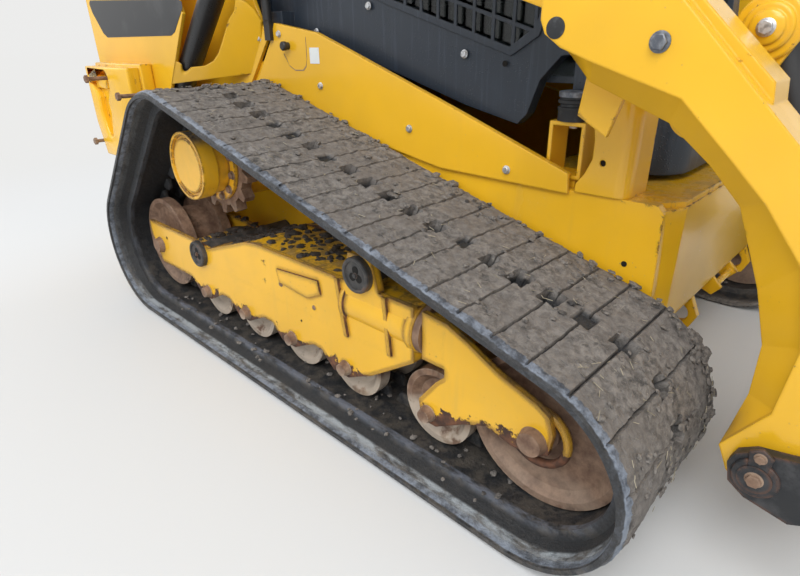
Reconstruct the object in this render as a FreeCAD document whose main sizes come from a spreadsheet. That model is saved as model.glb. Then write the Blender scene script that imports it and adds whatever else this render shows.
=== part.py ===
import FreeCAD, Part
import math
import os
import Sketcher
from FreeCAD import Placement, Rotation, Vector

# Compact track loader with a radial lift: rubber tracks on a triangular run, twin boxed arms,
# a quick coupler at the arms' feet and a hollow cab between them.
# X points forward, Y to the machine's left, Z up. The origin lies on the ground, under the
# middle of the machine's box. The right side (negative Y) is built and the left mirrored.

doc = FreeCAD.newDocument("compact_track_loader")
dims = doc.addObject("Spreadsheet::Sheet", "dims")

# Each row: name, value in millimetres (or degrees, or a plain count), what it sets.
SIZES = [
    # Rubber track
    ("track_centre", 766, "distance of the track's middle from the centreline"),
    ("track_width", 450, "belt width"),
    ("track_pitches", 60, "lugs round the loop"),
    ("belt_thickness", 30, "rubber belt without its lugs"),
    ("lug_height", 25, "lug above the belt"),
    ("lug_share", 0.9, "part of a pitch that a lug fills"),
    ("lug_taper", 3, "how far each lug's end face leans"),
    ("idler_front_x", 952, "front idler axle"),
    ("idler_front_z", 231, "front idler axle height, and its lug-tip radius"),
    ("idler_rear_x", -690, "rear idler axle"),
    ("idler_rear_z", 251, "rear idler axle height, and its lug-tip radius"),
    ("drive_x", -350, "sprocket axle"),
    ("drive_z", 600, "sprocket axle height"),
    ("drive_tip_radius", 236, "lug-tip radius over the sprocket"),
    ("roll_gap", 0.3, "gap between a roller and the belt"),
    # Rollers and idlers
    ("roller_1_x", -356, "rearmost frame roller"),
    ("roller_2_x", -106, "second frame roller"),
    ("roller_3_x", 142, "third frame roller"),
    ("roller_4_x", 382, "fourth frame roller"),
    ("roller_5_x", 676, "roller on the front fork"),
    ("roller_z", 155, "roller axle height"),
    ("rim_inner", 676, "inner face of the rollers"),
    ("rim_outer", 856, "outer face of the rollers"),
    ("rim_width", 36, "width of one roller rim"),
    ("roller_hub_radius", 62, "roller body between its rims"),
    ("idler_step", 48, "how deep an idler's middle lies below its rims"),
    ("idler_rear_rim", 172, "rim radius of the rear idler"),
    ("axle_radius", 16, "roller and idler axle"),
    ("axle_head_radius", 22, "axle head of a roller"),
    ("idler_head_radius", 31, "axle head of an idler"),
    ("axle_head_length", 20, "axle bolt head outside the plate"),
    ("axle_gap", 0.2, "gap round an axle in its plate"),
    # Track frame
    ("frame_outer", 890, "outer face of the track frame"),
    ("frame_inner", 640, "inner face of the track frame"),
    ("frame_plate", 14, "track frame side plate"),
    ("frame_top", 418, "top of the track frame beam"),
    ("frame_shelf", 266, "underside of the beam above the rollers"),
    ("frame_low", 172, "lower edge between the roller lobes"),
    ("lobe_low", 126, "lowest edge of a roller lobe"),
    ("lobe_foot", 54, "how far a lobe's foot reaches behind its axle"),
    ("lobe_shoulder", 100, "half width of a lobe at its root"),
    ("tail_low", 180, "lower edge of the idler plate"),
    ("frame_front_x", 630, "front end of the beam"),
    ("frame_rear_x", -757, "rear end of the idler plate"),
    ("tail_top", 337, "top of the idler plate"),
    ("tail_front_x", -440, "where the idler plate meets the beam"),
    ("saddle_x", -60, "where the beam reaches its full height"),
    ("fork_rear_x", 656, "rear edge of the front fork"),
    ("recoil_radius", 46, "recoil rod between beam and fork"),
    ("recoil_z", 350, "recoil rod height"),
    # Torsion axles
    ("axle_rear_x", -367, "rear torsion axle"),
    ("axle_rear_z", 297, "rear torsion axle height"),
    ("axle_front_x", 457, "front torsion axle"),
    ("axle_front_z", 452, "front torsion axle height"),
    ("torsion_radius", 34, "torsion axle tube"),
    ("torsion_disc_radius", 46, "end disc of a torsion axle"),
    ("torsion_disc", 14, "thickness of the end disc"),
    # Sprocket and final drive
    ("sprocket_teeth", 14, "teeth of the drive sprocket"),
    ("sprocket_root", 148, "root radius of the sprocket"),
    ("sprocket_tip", 177, "tip radius of the sprocket"),
    ("sprocket_width", 38, "sprocket thickness"),
    ("tooth_root_width", 46, "tooth width at its root"),
    ("tooth_tip_width", 20, "tooth width at its tip"),
    ("drum_radius", 108, "final drive drum"),
    ("drum_outer", 895, "outer face of the final drive"),
    ("drum_rim", 9, "width of the raised rim on the drum's face"),
    ("drum_recess", 10, "depth of the recess in the drum's face"),
    ("drum_neck", 92, "drum neck through the sprocket"),
    ("motor_radius", 128, "drive motor case between chassis and sprocket"),
    # Chassis
    ("hull_half", 530, "half width of the chassis over its side plates"),
    ("hull_plate", 22, "chassis side plate"),
    ("belly_z", 232, "ground clearance"),
    ("belly_plate", 12, "belly, nose and deck plate"),
    ("hull_rear_x", -1340, "rear end of the chassis"),
    ("hull_top_z", 900, "chassis side height at the rear"),
    ("nose_side_x", 1004, "front edge of the chassis side"),
    ("nose_x", 1026, "front face of the nose"),
    ("nose_half", 457, "half width of the nose plate"),
    ("nose_top", 640, "top of the nose"),
    ("nose_low", 345, "lower edge of the nose plate"),
    ("nose_belly_x", 850, "where the belly turns up to the nose"),
    ("lug_eye_y", 250, "tie-down plate"),
    ("lug_eye_x", 1000, "tie-down hole"),
    ("lug_eye_z", 296, "tie-down hole height"),
    ("lug_eye_radius", 26, "tie-down hole radius"),
    ("lug_eye_rim", 48, "outer radius of the tie-down plate"),
    ("lug_eye_plate", 22, "tie-down plate thickness"),
    ("rear_eye_x", -1392, "rear tie-down hole"),
    ("rear_eye_z", 420, "rear tie-down hole height"),
    # Side panel and front post
    ("panel_y", 540, "outer face of the side panel"),
    ("panel_plate", 9.7, "side panel sheet"),
    ("panel_lip", 18, "folded lip on top of the side panel"),
    ("post_front_x", 925, "front face of the front post"),
    ("post_plate", 12, "front post plate"),
    ("post_inner", 430, "inner edge of the front post"),
    ("post_top", 880, "top of the front post"),
    ("mount_x", 760, "front cab mount"),
    ("mount_half", 44, "half length of the cab mount bracket"),
    ("mount_top", 788, "top of the front cab mount bracket"),
    ("mount_inner", 440, "inner side of the cab mount bracket"),
    ("mount_outer", 516, "outer side of the cab mount bracket"),
    ("mount_plate", 9, "bracket plate"),
    ("isolator_y", 485, "cab mount rubber"),
    ("isolator_radius", 40, "cab mount rubber radius"),
    ("isolator_height", 64, "cab mount rubber height"),
    ("rear_mount_x", -330, "rear cab mount"),
    ("rear_mount_y", 474, "rear cab mount rubber"),
    ("rear_mount_z", 930, "seat of the rear cab mount rubber"),
    # Tower
    ("tower_outer", 702, "outer face of the tower"),
    ("tower_plate", 12, "tower plate"),
    ("tower_inner", 530, "inner face of the tower's inner plate"),
    ("tower_rear_x", -1430, "rear edge of the tower"),
    ("tower_foot_z", 480, "lowest edge of the tower"),
    ("tower_head", 112, "radius of the tower head round the arm pivot"),
    ("web_plate", 9, "slanted web between tower and side panel"),
    ("strut_x", -325, "service strut of the cab"),
    ("strut_top", 1180, "upper pin of the service strut"),
    ("strut_foot", 1024, "lower end of the strut's tube"),
    # Counterweight
    ("weight_outer", 800, "outer face of the counterweight slabs"),
    ("weight_split", 752, "joint between the two slabs"),
    ("weight_rear_x", -1365, "rear end of the slabs"),
    ("weight_front_x", -925, "front end of the slabs"),
    ("weight_top", 889, "top of the slabs"),
    ("weight_low", 500, "underside of the slabs"),
    ("weight_gap", 0.3, "gap between slabs and tower"),
    # Arms
    ("arm_outer", 760, "outer face of an arm"),
    ("arm_skin", 745, "inner side of the arm's outer plate"),
    ("arm_fold", 700, "where the arm's folded lower flange ends"),
    ("boom_outer", 682, "outer face of the boom behind the front box"),
    ("boom_inner", 602, "inner face of the boom"),
    ("arm_pivot_x", -1060, "arm pivot"),
    ("arm_pivot_z", 1500, "arm pivot height"),
    ("pivot_radius", 32, "arm pivot pin"),
    ("pin_gap", 0.05, "running gap of a pin in its bore"),
    ("foot_inner", 645, "inner face of the arm's foot"),
    ("cross_x", 1060, "cross tube between the arms"),
    ("cross_z", 842, "cross tube height"),
    ("cross_radius", 46, "cross tube radius"),
    # Coupler and tilt cylinders
    ("coupler_pivot_x", 1304, "coupler pin"),
    ("coupler_pivot_z", 290, "coupler pin height"),
    ("coupler_pin_radius", 26, "coupler pin radius"),
    ("ear_outer", 786, "outer face of the coupler's outer ears"),
    ("ear_plate", 20, "coupler ear thickness"),
    ("ear_gap", 6, "gap between an ear and the arm's foot"),
    ("coupler_half", 530, "half width of the coupler plate"),
    ("coupler_face_x", 1502, "front face of the coupler"),
    ("coupler_low", 96, "lower edge of the coupler"),
    ("coupler_top", 490, "upper edge of the coupler"),
    ("tilt_top_x", 1118, "upper pin of the tilt cylinder"),
    ("tilt_top_z", 971, "upper pin height"),
    ("tilt_end_x", 1360, "rod eye of the tilt cylinder"),
    ("tilt_end_z", 400, "rod eye height"),
    ("tilt_y", 500, "tilt cylinder plane"),
    ("tilt_barrel_radius", 42, "tilt cylinder barrel"),
    ("tilt_barrel_length", 455, "tilt barrel from its upper pin"),
    ("tilt_rod_radius", 22, "tilt rod"),
    # Lift cylinders
    ("lift_base_x", -1031, "lower pin of the lift cylinder"),
    ("lift_base_z", 590, "lower pin height"),
    ("lift_end_x", -248, "rod eye of the lift cylinder"),
    ("lift_end_z", 1325, "rod eye height"),
    ("lift_y", 640, "lift cylinder plane"),
    ("lift_barrel_radius", 40, "lift cylinder barrel"),
    ("lift_barrel_length", 820, "lift barrel from its lower pin"),
    ("lift_rod_radius", 25, "lift rod"),
    ("bore_gap", 0.08, "running gap of a rod in its barrel"),
    # Cab
    ("cab_half", 470, "half width of the cab"),
    ("cab_wall", 36, "cab wall thickness"),
    ("cab_rear_x", -400, "cab rear wall"),
    ("cab_front_x", 800, "front of the cab at the sill"),
    ("cab_brow_x", 690, "front of the cab under the roof"),
    ("cab_roof_z", 2062, "underside of the roof cap"),
    ("cab_top_z", 2115, "top of the roof"),
    ("cab_floor_z", 862, "underside of the cab floor"),
    ("door_half", 345, "half width of the door"),
    ("door_low", 905, "lower edge of the door"),
    ("door_head", 52, "height between the door and the underside of the roof"),
    ("door_depth", 34, "door frame depth"),
    ("door_gap", 6, "gap round the door"),
    ("footwell_x", 950, "front of the footwell below the door"),
    ("footwell_half", 340, "half width of the footwell"),
    ("footwell_low", 655, "underside of the footwell"),
    ("footwell_top", 890, "top of the footwell, under the door"),
    ("footwell_wall", 12, "footwell wall"),
    ("footwell_round", 100, "radius of its front corners"),
    ("glass", 6, "glass thickness"),
    ("guard_plate", 5, "window guard plate"),
    ("guard_step_x", 58.3, "spacing of the guard's openings along the cab"),
    ("guard_step_z", 57, "spacing of the guard's openings up the cab"),
    ("guard_bar", 9, "width of a guard bar"),
    ("guard_first_x", 230, "left side of the guard column that the rows are counted from"),
    ("guard_first_z", 1045, "its lowest corner"),
    ("guard_slope", 0.307, "fall of the guard's rows towards the front"),
    ("hinge_radius", 9, "hinge knuckle radius"),
    ("hinge_pin", 5, "hinge pin radius"),
    # Rear body
    ("bay_half", 430, "half width of the engine hood"),
    ("hood_top", 1430, "top of the hood"),
    ("hood_front_x", -570, "front edge of the hood"),
    ("hood_rear_x", -1380, "rear edge of the hood"),
    ("door_rear_x", -1504, "rear face of the rear door"),
    ("door_rear_low", 560, "lower edge of the rear door"),
    ("grille_half", 300, "half width of the hood's and the rear door's grilles"),
    ("grille_step", 52, "spacing of their slots"),
    ("grille_slot", 26, "width of a slot"),
    ("grille_depth", 30, "depth of the rear door's slots"),
    ("hood_grille", 130, "first slot of the hood, from its rear edge"),
    ("door_grille", 180, "lowest slot of the rear door, from its lower edge"),
]

for row, (alias, value, note) in enumerate(SIZES, start=1):
    dims.set(f"A{row}", alias)
    dims.set(f"B{row}", str(value))
    dims.set(f"C{row}", note)
    dims.setAlias(f"B{row}", alias)
doc.recompute()


class Size:
    """A number together with the sheet formula that gives it."""

    def __init__(self, number, formula):
        self.number = number
        self.formula = formula

    def __add__(self, other):
        other = as_size(other)
        return Size(self.number + other.number, f"({self.formula} + {other.formula})")

    def __sub__(self, other):
        other = as_size(other)
        return Size(self.number - other.number, f"({self.formula} - {other.formula})")

    def __mul__(self, other):
        other = as_size(other)
        return Size(self.number * other.number, f"({self.formula} * {other.formula})")

    def __truediv__(self, other):
        other = as_size(other)
        return Size(self.number / other.number, f"({self.formula} / {other.formula})")

    def __neg__(self):
        return Size(-self.number, f"(0 - {self.formula})")

    def __radd__(self, other):
        return as_size(other) + self

    def __rsub__(self, other):
        return as_size(other) - self

    def __rmul__(self, other):
        return as_size(other) * self


def as_size(thing):
    if isinstance(thing, Size):
        return thing
    return Size(float(thing), repr(float(thing)))


class Sheet:
    """Reads the sheet by name, so that D.track_width is a Size bound to its cell."""

    def __getattr__(self, alias):
        return Size(float(dims.get(alias)), f"{dims.Name}.{alias}")


D = Sheet()


def bind(thing, path, size):
    """Sets a property's formula when the size comes from the sheet."""
    size = as_size(size)
    if dims.Name in size.formula:
        thing.setExpression(path, size.formula)


def place(thing, x, y, z, rotation=Rotation()):
    x, y, z = as_size(x), as_size(y), as_size(z)
    thing.Placement = Placement(Vector(x.number, y.number, z.number), rotation)
    for axis, size in (("x", x), ("y", y), ("z", z)):
        bind(thing, f"Placement.Base.{axis}", size)


def box(label, x, y, z):
    """A block given by its low and high values along each axis."""
    block = doc.addObject("Part::Box", label)
    for prop, (low, high) in (("Length", x), ("Width", y), ("Height", z)):
        size = as_size(high) - as_size(low)
        setattr(block, prop, size.number)
        bind(block, prop, size)
    place(block, x[0], y[0], z[0])
    return block


TURN = {"X": Rotation(Vector(0, 1, 0), 90), "Y": Rotation(Vector(1, 0, 0), -90), "Z": Rotation()}


def rod(label, axis, at, radius, low, high):
    """A round bar along X, Y or Z; at gives the two other coordinates in order."""
    bar = doc.addObject("Part::Cylinder", label)
    radius = as_size(radius)
    length = as_size(high) - as_size(low)
    bar.Radius = radius.number
    bar.Height = length.number
    bind(bar, "Radius", radius)
    bind(bar, "Height", length)
    spots = {"X": (low, at[0], at[1]), "Y": (at[0], low, at[1]), "Z": (at[0], at[1], low)}
    place(bar, *spots[axis], TURN[axis])
    return bar


ROLES = {"XY": "XY_Plane", "XZ": "XZ_Plane", "YZ": "YZ_Plane"}


def origin_part(body, role):
    return next(f for f in body.Origin.OriginFeatures if f.Role == role)


def draw_loop(sketch, points):
    """Draws a closed outline and fixes every corner to its formulas."""
    first = sketch.GeometryCount
    count = len(points)
    spots = [Vector(as_size(u).number, as_size(v).number, 0) for u, v in points]
    for i in range(count):
        sketch.addGeometry(Part.LineSegment(spots[i], spots[(i + 1) % count]), False)
    for i in range(count):
        after = first + (i + 1) % count
        sketch.addConstraint(Sketcher.Constraint("Coincident", first + i, 2, after, 1))
    for i, (u, v) in enumerate(points):
        for kind, size in (("DistanceX", as_size(u)), ("DistanceY", as_size(v))):
            rule = sketch.addConstraint(Sketcher.Constraint(kind, -1, 1, first + i, 1, size.number))
            bind(sketch, f"Constraints[{rule}]", size)


def draw_circle(sketch, u, v, radius):
    u, v, radius = as_size(u), as_size(v), as_size(radius)
    circle = sketch.addGeometry(Part.Circle(Vector(u.number, v.number, 0), Vector(0, 0, 1), radius.number), False)
    for kind, size in (("DistanceX", u), ("DistanceY", v)):
        rule = sketch.addConstraint(Sketcher.Constraint(kind, -1, 1, circle, 3, size.number))
        bind(sketch, f"Constraints[{rule}]", size)
    rule = sketch.addConstraint(Sketcher.Constraint("Radius", circle, radius.number))
    bind(sketch, f"Constraints[{rule}]", radius)


def sketch_in(body, plane, offset):
    sketch = body.newObject("Sketcher::SketchObject", f"{body.Label}_sketch")
    sketch.AttachmentSupport = (origin_part(body, ROLES[plane]), [""])
    sketch.MapMode = "FlatFace"
    offset = as_size(offset)
    sketch.AttachmentOffset = Placement(Vector(0, 0, offset.number), Rotation())
    bind(sketch, "AttachmentOffset.Base.z", offset)
    return sketch


def corner_edges(shape, plane, corners):
    """Names of the edges that run square to the plane through the given corners."""
    along = {"XY": Vector(0, 0, 1), "XZ": Vector(0, 1, 0), "YZ": Vector(1, 0, 0)}[plane]
    names = []
    for number, edge in enumerate(shape.Edges, start=1):
        if len(edge.Vertexes) != 2:
            continue
        low, high = edge.Vertexes[0].Point, edge.Vertexes[1].Point
        if (high - low).Length < 1e-6 or abs(abs((high - low).normalize().dot(along)) - 1) > 1e-6:
            continue
        spot = {"XY": (low.x, low.y), "XZ": (low.x, low.z), "YZ": (low.y, low.z)}[plane]
        for u, v in corners:
            if math.hypot(spot[0] - as_size(u).number, spot[1] - as_size(v).number) < 0.01:
                names.append(f"Edge{number}")
    return names


def plate(label, plane, outline, span, holes=(), cutouts=(), rounds=()):
    """A plate padded from its outline; span is its low and high value across the plane."""
    body = doc.addObject("PartDesign::Body", label)
    low, high = as_size(span[0]), as_size(span[1])
    sketch = sketch_in(body, plane, -high if plane == "XZ" else low)
    draw_loop(sketch, outline)
    for cutout in cutouts:
        draw_loop(sketch, cutout)
    for u, v, radius in holes:
        draw_circle(sketch, u, v, radius)
    pad = body.newObject("PartDesign::Pad", f"{label}_pad")
    pad.Profile = sketch
    pad.Length = (high - low).number
    bind(pad, "Length", high - low)
    doc.recompute()
    base = pad
    for radius, corners in rounds:
        names = corner_edges(base.Shape, plane, corners)
        fillet = body.newObject("PartDesign::Fillet", f"{label}_round")
        fillet.Base = (base, names)
        radius = as_size(radius)
        fillet.Radius = radius.number
        bind(fillet, "Radius", radius)
        body.Tip = fillet
        doc.recompute()
        base = fillet
    return body


def turned(label, profile, x, z):
    """A solid turned about an axle along Y; profile holds (distance from centreline, radius)."""
    body = doc.addObject("PartDesign::Body", label)
    sketch = sketch_in(body, "YZ", 0)
    draw_loop(sketch, [(-as_size(y), radius) for y, radius in profile])
    spin = body.newObject("PartDesign::Revolution", f"{label}_turn")
    spin.Profile = sketch
    spin.ReferenceAxis = (origin_part(body, "Y_Axis"), [""])
    spin.Angle = 360
    place(body, x, 0, z)
    return body


def fuse(label, pieces):
    union = doc.addObject("Part::MultiFuse", label)
    union.Shapes = pieces
    union.Refine = True
    return union


def cut(label, base, tool):
    rest = doc.addObject("Part::Cut", label)
    rest.Base = base
    rest.Tool = tool
    rest.Refine = True
    return rest


def common(label, pieces):
    shared = doc.addObject("Part::MultiCommon", label)
    shared.Shapes = pieces
    return shared


def mirrored(label, source):
    """The left-hand twin of a piece built on the right."""
    twin = doc.addObject("Part::Mirroring", label)
    twin.Source = source
    twin.Normal = Vector(0, 1, 0)
    return twin


def both(label, pieces):
    """One node made of right-hand pieces and their left-hand twins."""
    everything = []
    for piece in pieces:
        everything += [piece, mirrored(f"{piece.Label}_twin", piece)]
    return fuse(label, everything)


def solid(label, shape):
    piece = doc.addObject("Part::Feature", label)
    piece.Shape = shape
    return piece


NODES = []


def keep(piece):
    NODES.append(piece)
    return piece


def keep_pair(piece, label):
    keep(piece)
    return keep(mirrored(label, piece))


# Track run: a belt round the front idler, the sprocket and the rear idler
class TrackRun:
    """The closed line of the lug tips: three arcs joined by their outer tangents."""

    def __init__(self):
        self.wheels = [
            (D.idler_rear_x.number, D.idler_rear_z.number, D.idler_rear_z.number),
            (D.idler_front_x.number, D.idler_front_z.number, D.idler_front_z.number),
            (D.drive_x.number, D.drive_z.number, D.drive_tip_radius.number),
        ]
        normals = []
        for i in range(3):
            (x0, z0, r0), (x1, z1, r1) = self.wheels[i], self.wheels[(i + 1) % 3]
            length = math.hypot(x1 - x0, z1 - z0)
            heading = math.atan2(z1 - z0, x1 - x0)
            normals.append(heading - math.pi / 2 + math.asin((r1 - r0) / length) * -1)
        self.pieces = []
        for i in range(3):
            x0, z0, r0 = self.wheels[i]
            x1, z1, r1 = self.wheels[(i + 1) % 3]
            n = normals[i]
            start = (x0 + r0 * math.cos(n), z0 + r0 * math.sin(n))
            end = (x1 + r1 * math.cos(n), z1 + r1 * math.sin(n))
            self.pieces.append(("line", start, end, n, math.dist(start, end)))
            turn = (normals[(i + 1) % 3] - n) % (2 * math.pi)
            self.pieces.append(("arc", (x1, z1), r1, n, r1 * turn))

    def length(self, depth):
        """Length of the line that lies depth inside the lug tips."""
        return sum(piece[4] for piece in self.pieces) - 2 * math.pi * depth

    def point(self, share, depth, pitch_depth):
        """Point at a share of the loop, measured along the pitch line, depth inside the tips."""
        rest = share * self.length(pitch_depth)
        for kind, a, b, n, size in self.pieces:
            if kind == "line":
                if rest <= size:
                    x = a[0] + (b[0] - a[0]) * rest / size - depth * math.cos(n)
                    z = a[1] + (b[1] - a[1]) * rest / size - depth * math.sin(n)
                    return x, z
                rest -= size
            else:
                arc = size * (b - pitch_depth) / b
                if rest <= arc:
                    angle = n + rest / (b - pitch_depth)
                    return a[0] + (b - depth) * math.cos(angle), a[1] + (b - depth) * math.sin(angle)
                rest -= arc
        return self.point(0, depth, pitch_depth)

    def ring(self, depth, low, high):
        """A solid filling the loop depth inside the lug tips, from low to high across."""
        edges = []
        for kind, a, b, n, size in self.pieces:
            if kind == "line":
                shift = Vector(-depth * math.cos(n), 0, -depth * math.sin(n))
                edges.append(Part.LineSegment(Vector(a[0], low, a[1]) + shift, Vector(b[0], low, b[1]) + shift))
            else:
                reach = b - depth
                angles = [n, n + size / b / 2, n + size / b]
                spots = [Vector(a[0] + reach * math.cos(t), low, a[1] + reach * math.sin(t)) for t in angles]
                edges.append(Part.Arc(*spots))
        wire = Part.Wire([edge.toShape() for edge in edges])
        return Part.Face(wire).extrude(Vector(0, high - low, 0))


run = TrackRun()
wall = D.lug_height.number + D.belt_thickness.number
pitch_depth = D.lug_height.number + D.belt_thickness.number * 0.6
pitches = int(D.track_pitches.number)
lug_share = D.lug_share.number
track_low = -(D.track_centre.number + D.track_width.number / 2)
track_high = -(D.track_centre.number - D.track_width.number / 2)

outline = []
for i in range(pitches):
    taper = D.lug_taper.number / run.length(pitch_depth)
    start, end = i / pitches, (i + lug_share) / pitches
    outline.append(run.point(start, D.lug_height.number, pitch_depth))
    outline.append(run.point(start + taper, 0, pitch_depth))
    outline.append(run.point(end - taper, 0, pitch_depth))
    outline.append(run.point(end, D.lug_height.number, pitch_depth))
tread = Part.makePolygon([Vector(x, track_low, z) for x, z in outline + outline[:1]])
tread = Part.Face(tread).extrude(Vector(0, track_high - track_low, 0))
track_right = keep(solid("track_right", tread.cut(run.ring(wall, track_low, track_high))))
keep(mirrored("track_left", track_right))

# Rollers, idlers and their axles
roller_xs = [D.roller_1_x, D.roller_2_x, D.roller_3_x, D.roller_4_x, D.roller_5_x]
head_end = D.frame_outer + D.axle_head_length
axle_start = D.frame_inner


def wheel_profile(rim, middle, head):
    """Twin-rimmed wheel with its axle, from the centreline outwards."""
    return [
        (axle_start, 0),
        (axle_start, D.axle_radius),
        (D.rim_inner, D.axle_radius),
        (D.rim_inner, rim),
        (D.rim_inner + D.rim_width, rim),
        (D.rim_inner + D.rim_width, middle),
        (D.rim_outer - D.rim_width, middle),
        (D.rim_outer - D.rim_width, rim),
        (D.rim_outer, rim),
        (D.rim_outer, rim - 16),
        (D.rim_outer - D.rim_width / 2, rim - 34),
        (D.rim_outer - D.rim_width / 2, head + 6),
        (D.rim_outer, head + 6),
        (D.rim_outer, D.axle_radius),
        (D.frame_outer, D.axle_radius),
        (D.frame_outer, head),
        (head_end, head - 5),
        (head_end, 0),
    ]


wall_size = D.lug_height + D.belt_thickness
roller_rim = D.roller_z - wall_size - D.roll_gap
rollers = [
    turned(f"roller_{i}", wheel_profile(roller_rim, D.roller_hub_radius, D.axle_head_radius), x, D.roller_z)
    for i, x in enumerate(roller_xs, start=1)
]
keep(both("track_rollers", rollers))
idler_rims = [D.idler_front_z - wall_size - D.roll_gap, D.idler_rear_rim]
idlers = [
    turned(name, wheel_profile(rim, rim - D.idler_step, D.idler_head_radius), x, z)
    for name, rim, x, z in (
        ("front_idler", idler_rims[0], D.idler_front_x, D.idler_front_z),
        ("rear_idler", idler_rims[1], D.idler_rear_x, D.idler_rear_z),
    )
]
keep(both("idlers", idlers))

# Track frame: two plates with a lobe at every roller, under a boxed beam
lobes = []
for x in (D.roller_4_x, D.roller_3_x, D.roller_2_x, D.roller_1_x):
    lobes += [
        (x + D.lobe_shoulder, D.frame_low),
        (x + D.lobe_shoulder * 0.52, (D.lobe_low + D.frame_low) / 2),
        (x + 8, D.lobe_low),
        (x - D.lobe_foot, D.lobe_low),
        (x - D.lobe_shoulder * 0.8, (D.lobe_low + D.frame_low) / 2),
        (x - D.lobe_shoulder, D.frame_low),
    ]
side_outline = [
    (D.frame_rear_x, D.tail_top),
    (D.tail_front_x, D.tail_top),
    (D.tail_front_x + 132, D.tail_top - 10),
    (D.saddle_x, D.frame_top - 8),
    (D.saddle_x + 60, D.frame_top),
    (D.frame_front_x, D.frame_top),
    (D.frame_front_x, D.frame_shelf + 8),
] + lobes + [
    (D.tail_front_x - 30, D.tail_low),
    (D.idler_rear_x - 12, D.tail_low),
    (D.frame_rear_x, D.frame_shelf + 20),
]
axle_hole = D.axle_radius + D.axle_gap
frame_holes = [(x, D.roller_z, axle_hole) for x in roller_xs[:4]]
frame_holes.append((D.idler_rear_x, D.idler_rear_z, axle_hole))
frame_plates = [
    plate(f"track_frame_{name}", "XZ", side_outline, span, holes=frame_holes)
    for name, span in (
        ("outer_plate", (-D.frame_outer, D.frame_plate - D.frame_outer)),
        ("inner_plate", (-D.frame_inner - D.frame_plate, -D.frame_inner)),
    )
]
beam_outline = [
    (D.tail_front_x, D.frame_shelf),
    (D.tail_front_x, D.tail_top - 12),
    (D.tail_front_x + 132, D.tail_top - 22),
    (D.saddle_x, D.frame_top - 12),
    (D.frame_front_x, D.frame_top - 6),
    (D.frame_front_x, D.frame_shelf + 8),
    (D.frame_front_x - 20, D.frame_shelf),
]
beam = plate("track_frame_beam", "XZ", beam_outline, (-D.frame_outer + D.frame_plate, -D.frame_inner - D.frame_plate))
lug_outline = [
    (D.axle_front_x - 62, D.frame_top),
    (D.axle_front_x + 62, D.frame_top),
    (D.axle_front_x + 40, D.axle_front_z + 46),
    (D.axle_front_x - 40, D.axle_front_z + 46),
]
axle_lugs = [
    plate(f"axle_lug_{name}", "XZ", lug_outline, span)
    for name, span in (
        ("outer", (-D.frame_outer, -D.frame_outer + D.frame_plate + 8)),
        ("inner", (-D.frame_inner - D.frame_plate, -D.frame_inner)),
    )
]
torsion_bore = D.torsion_radius + D.axle_gap
bores = fuse("torsion_bores", [
    rod("rear_torsion_bore", "Y", (D.axle_rear_x, D.axle_rear_z), torsion_bore, -D.frame_outer - 1, -D.frame_inner + 1),
    rod("front_torsion_bore", "Y", (D.axle_front_x, D.axle_front_z), torsion_bore, -D.frame_outer - 1, -D.frame_inner + 1),
])
band_span = (-D.frame_outer - 8, -D.frame_outer)
bands = [
    plate("frame_band_front", "XZ", [
        (536, D.frame_top), (548, D.frame_top), (562, D.frame_shelf), (550, D.frame_shelf),
    ], band_span),
    plate("frame_band_rear", "XZ", [
        (366, D.frame_top), (378, D.frame_top), (404, D.frame_shelf - 6), (392, D.frame_shelf - 6),
    ], band_span),
    plate("frame_cover", "XZ", [
        (102, 369), (292, 386), (300, 348), (240, 320), (112, 330),
    ], (-D.frame_outer - 6, -D.frame_outer)),
]
frame_body = fuse("track_frame_body", frame_plates + [beam] + axle_lugs + bands)
keep(both("track_frames", [cut("track_frame", frame_body, bores)]))

# Front fork: carries the front roller and idler, and slides on the recoil rod
fork_outline = [
    (D.fork_rear_x, D.frame_top),
    (D.fork_rear_x + 70, D.frame_top - 6),
    (D.fork_rear_x + 128, 387),
    (D.fork_rear_x + 206, 347),
    (D.idler_front_x, 317),
    (D.idler_front_x + 28, 300),
    (D.idler_front_x + 40, 262),
    (D.idler_front_x + 34, 212),
    (D.idler_front_x + 4, 192),
    (D.idler_front_x - 50, 190),
    (D.idler_front_x - 112, 206),
    (D.roller_5_x + 104, 178),
    (D.roller_5_x + 24, 128),
    (D.roller_5_x - 20, 128),
    (D.roller_5_x - 30, 182),
    (D.roller_5_x + 22, 252),
    (D.roller_5_x + 46, 276),
    (D.roller_5_x + 46, 297),
    (D.fork_rear_x, 297),
]
fork_holes = [(D.roller_5_x, D.roller_z, axle_hole), (D.idler_front_x, D.idler_front_z, axle_hole)]
fork_plates = [
    plate(f"fork_{name}", "XZ", fork_outline, span, holes=fork_holes)
    for name, span in (
        ("outer_plate", (-D.frame_outer, D.frame_plate - D.frame_outer)),
        ("inner_plate", (-D.frame_inner - D.frame_plate, -D.frame_inner)),
    )
]
fork_bridge = box(
    "fork_bridge",
    (D.fork_rear_x, D.fork_rear_x + 60),
    (-D.frame_outer + D.frame_plate, -D.frame_inner - D.frame_plate),
    (D.recoil_z - 50, D.recoil_z + 50),
)
recoil_rod = rod(
    "recoil_rod", "X", (-D.track_centre, D.recoil_z), D.recoil_radius, D.frame_front_x + D.roll_gap, D.fork_rear_x + 30
)
keep(both("front_forks", [fuse("front_fork", fork_plates + [fork_bridge, recoil_rod])]))

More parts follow.
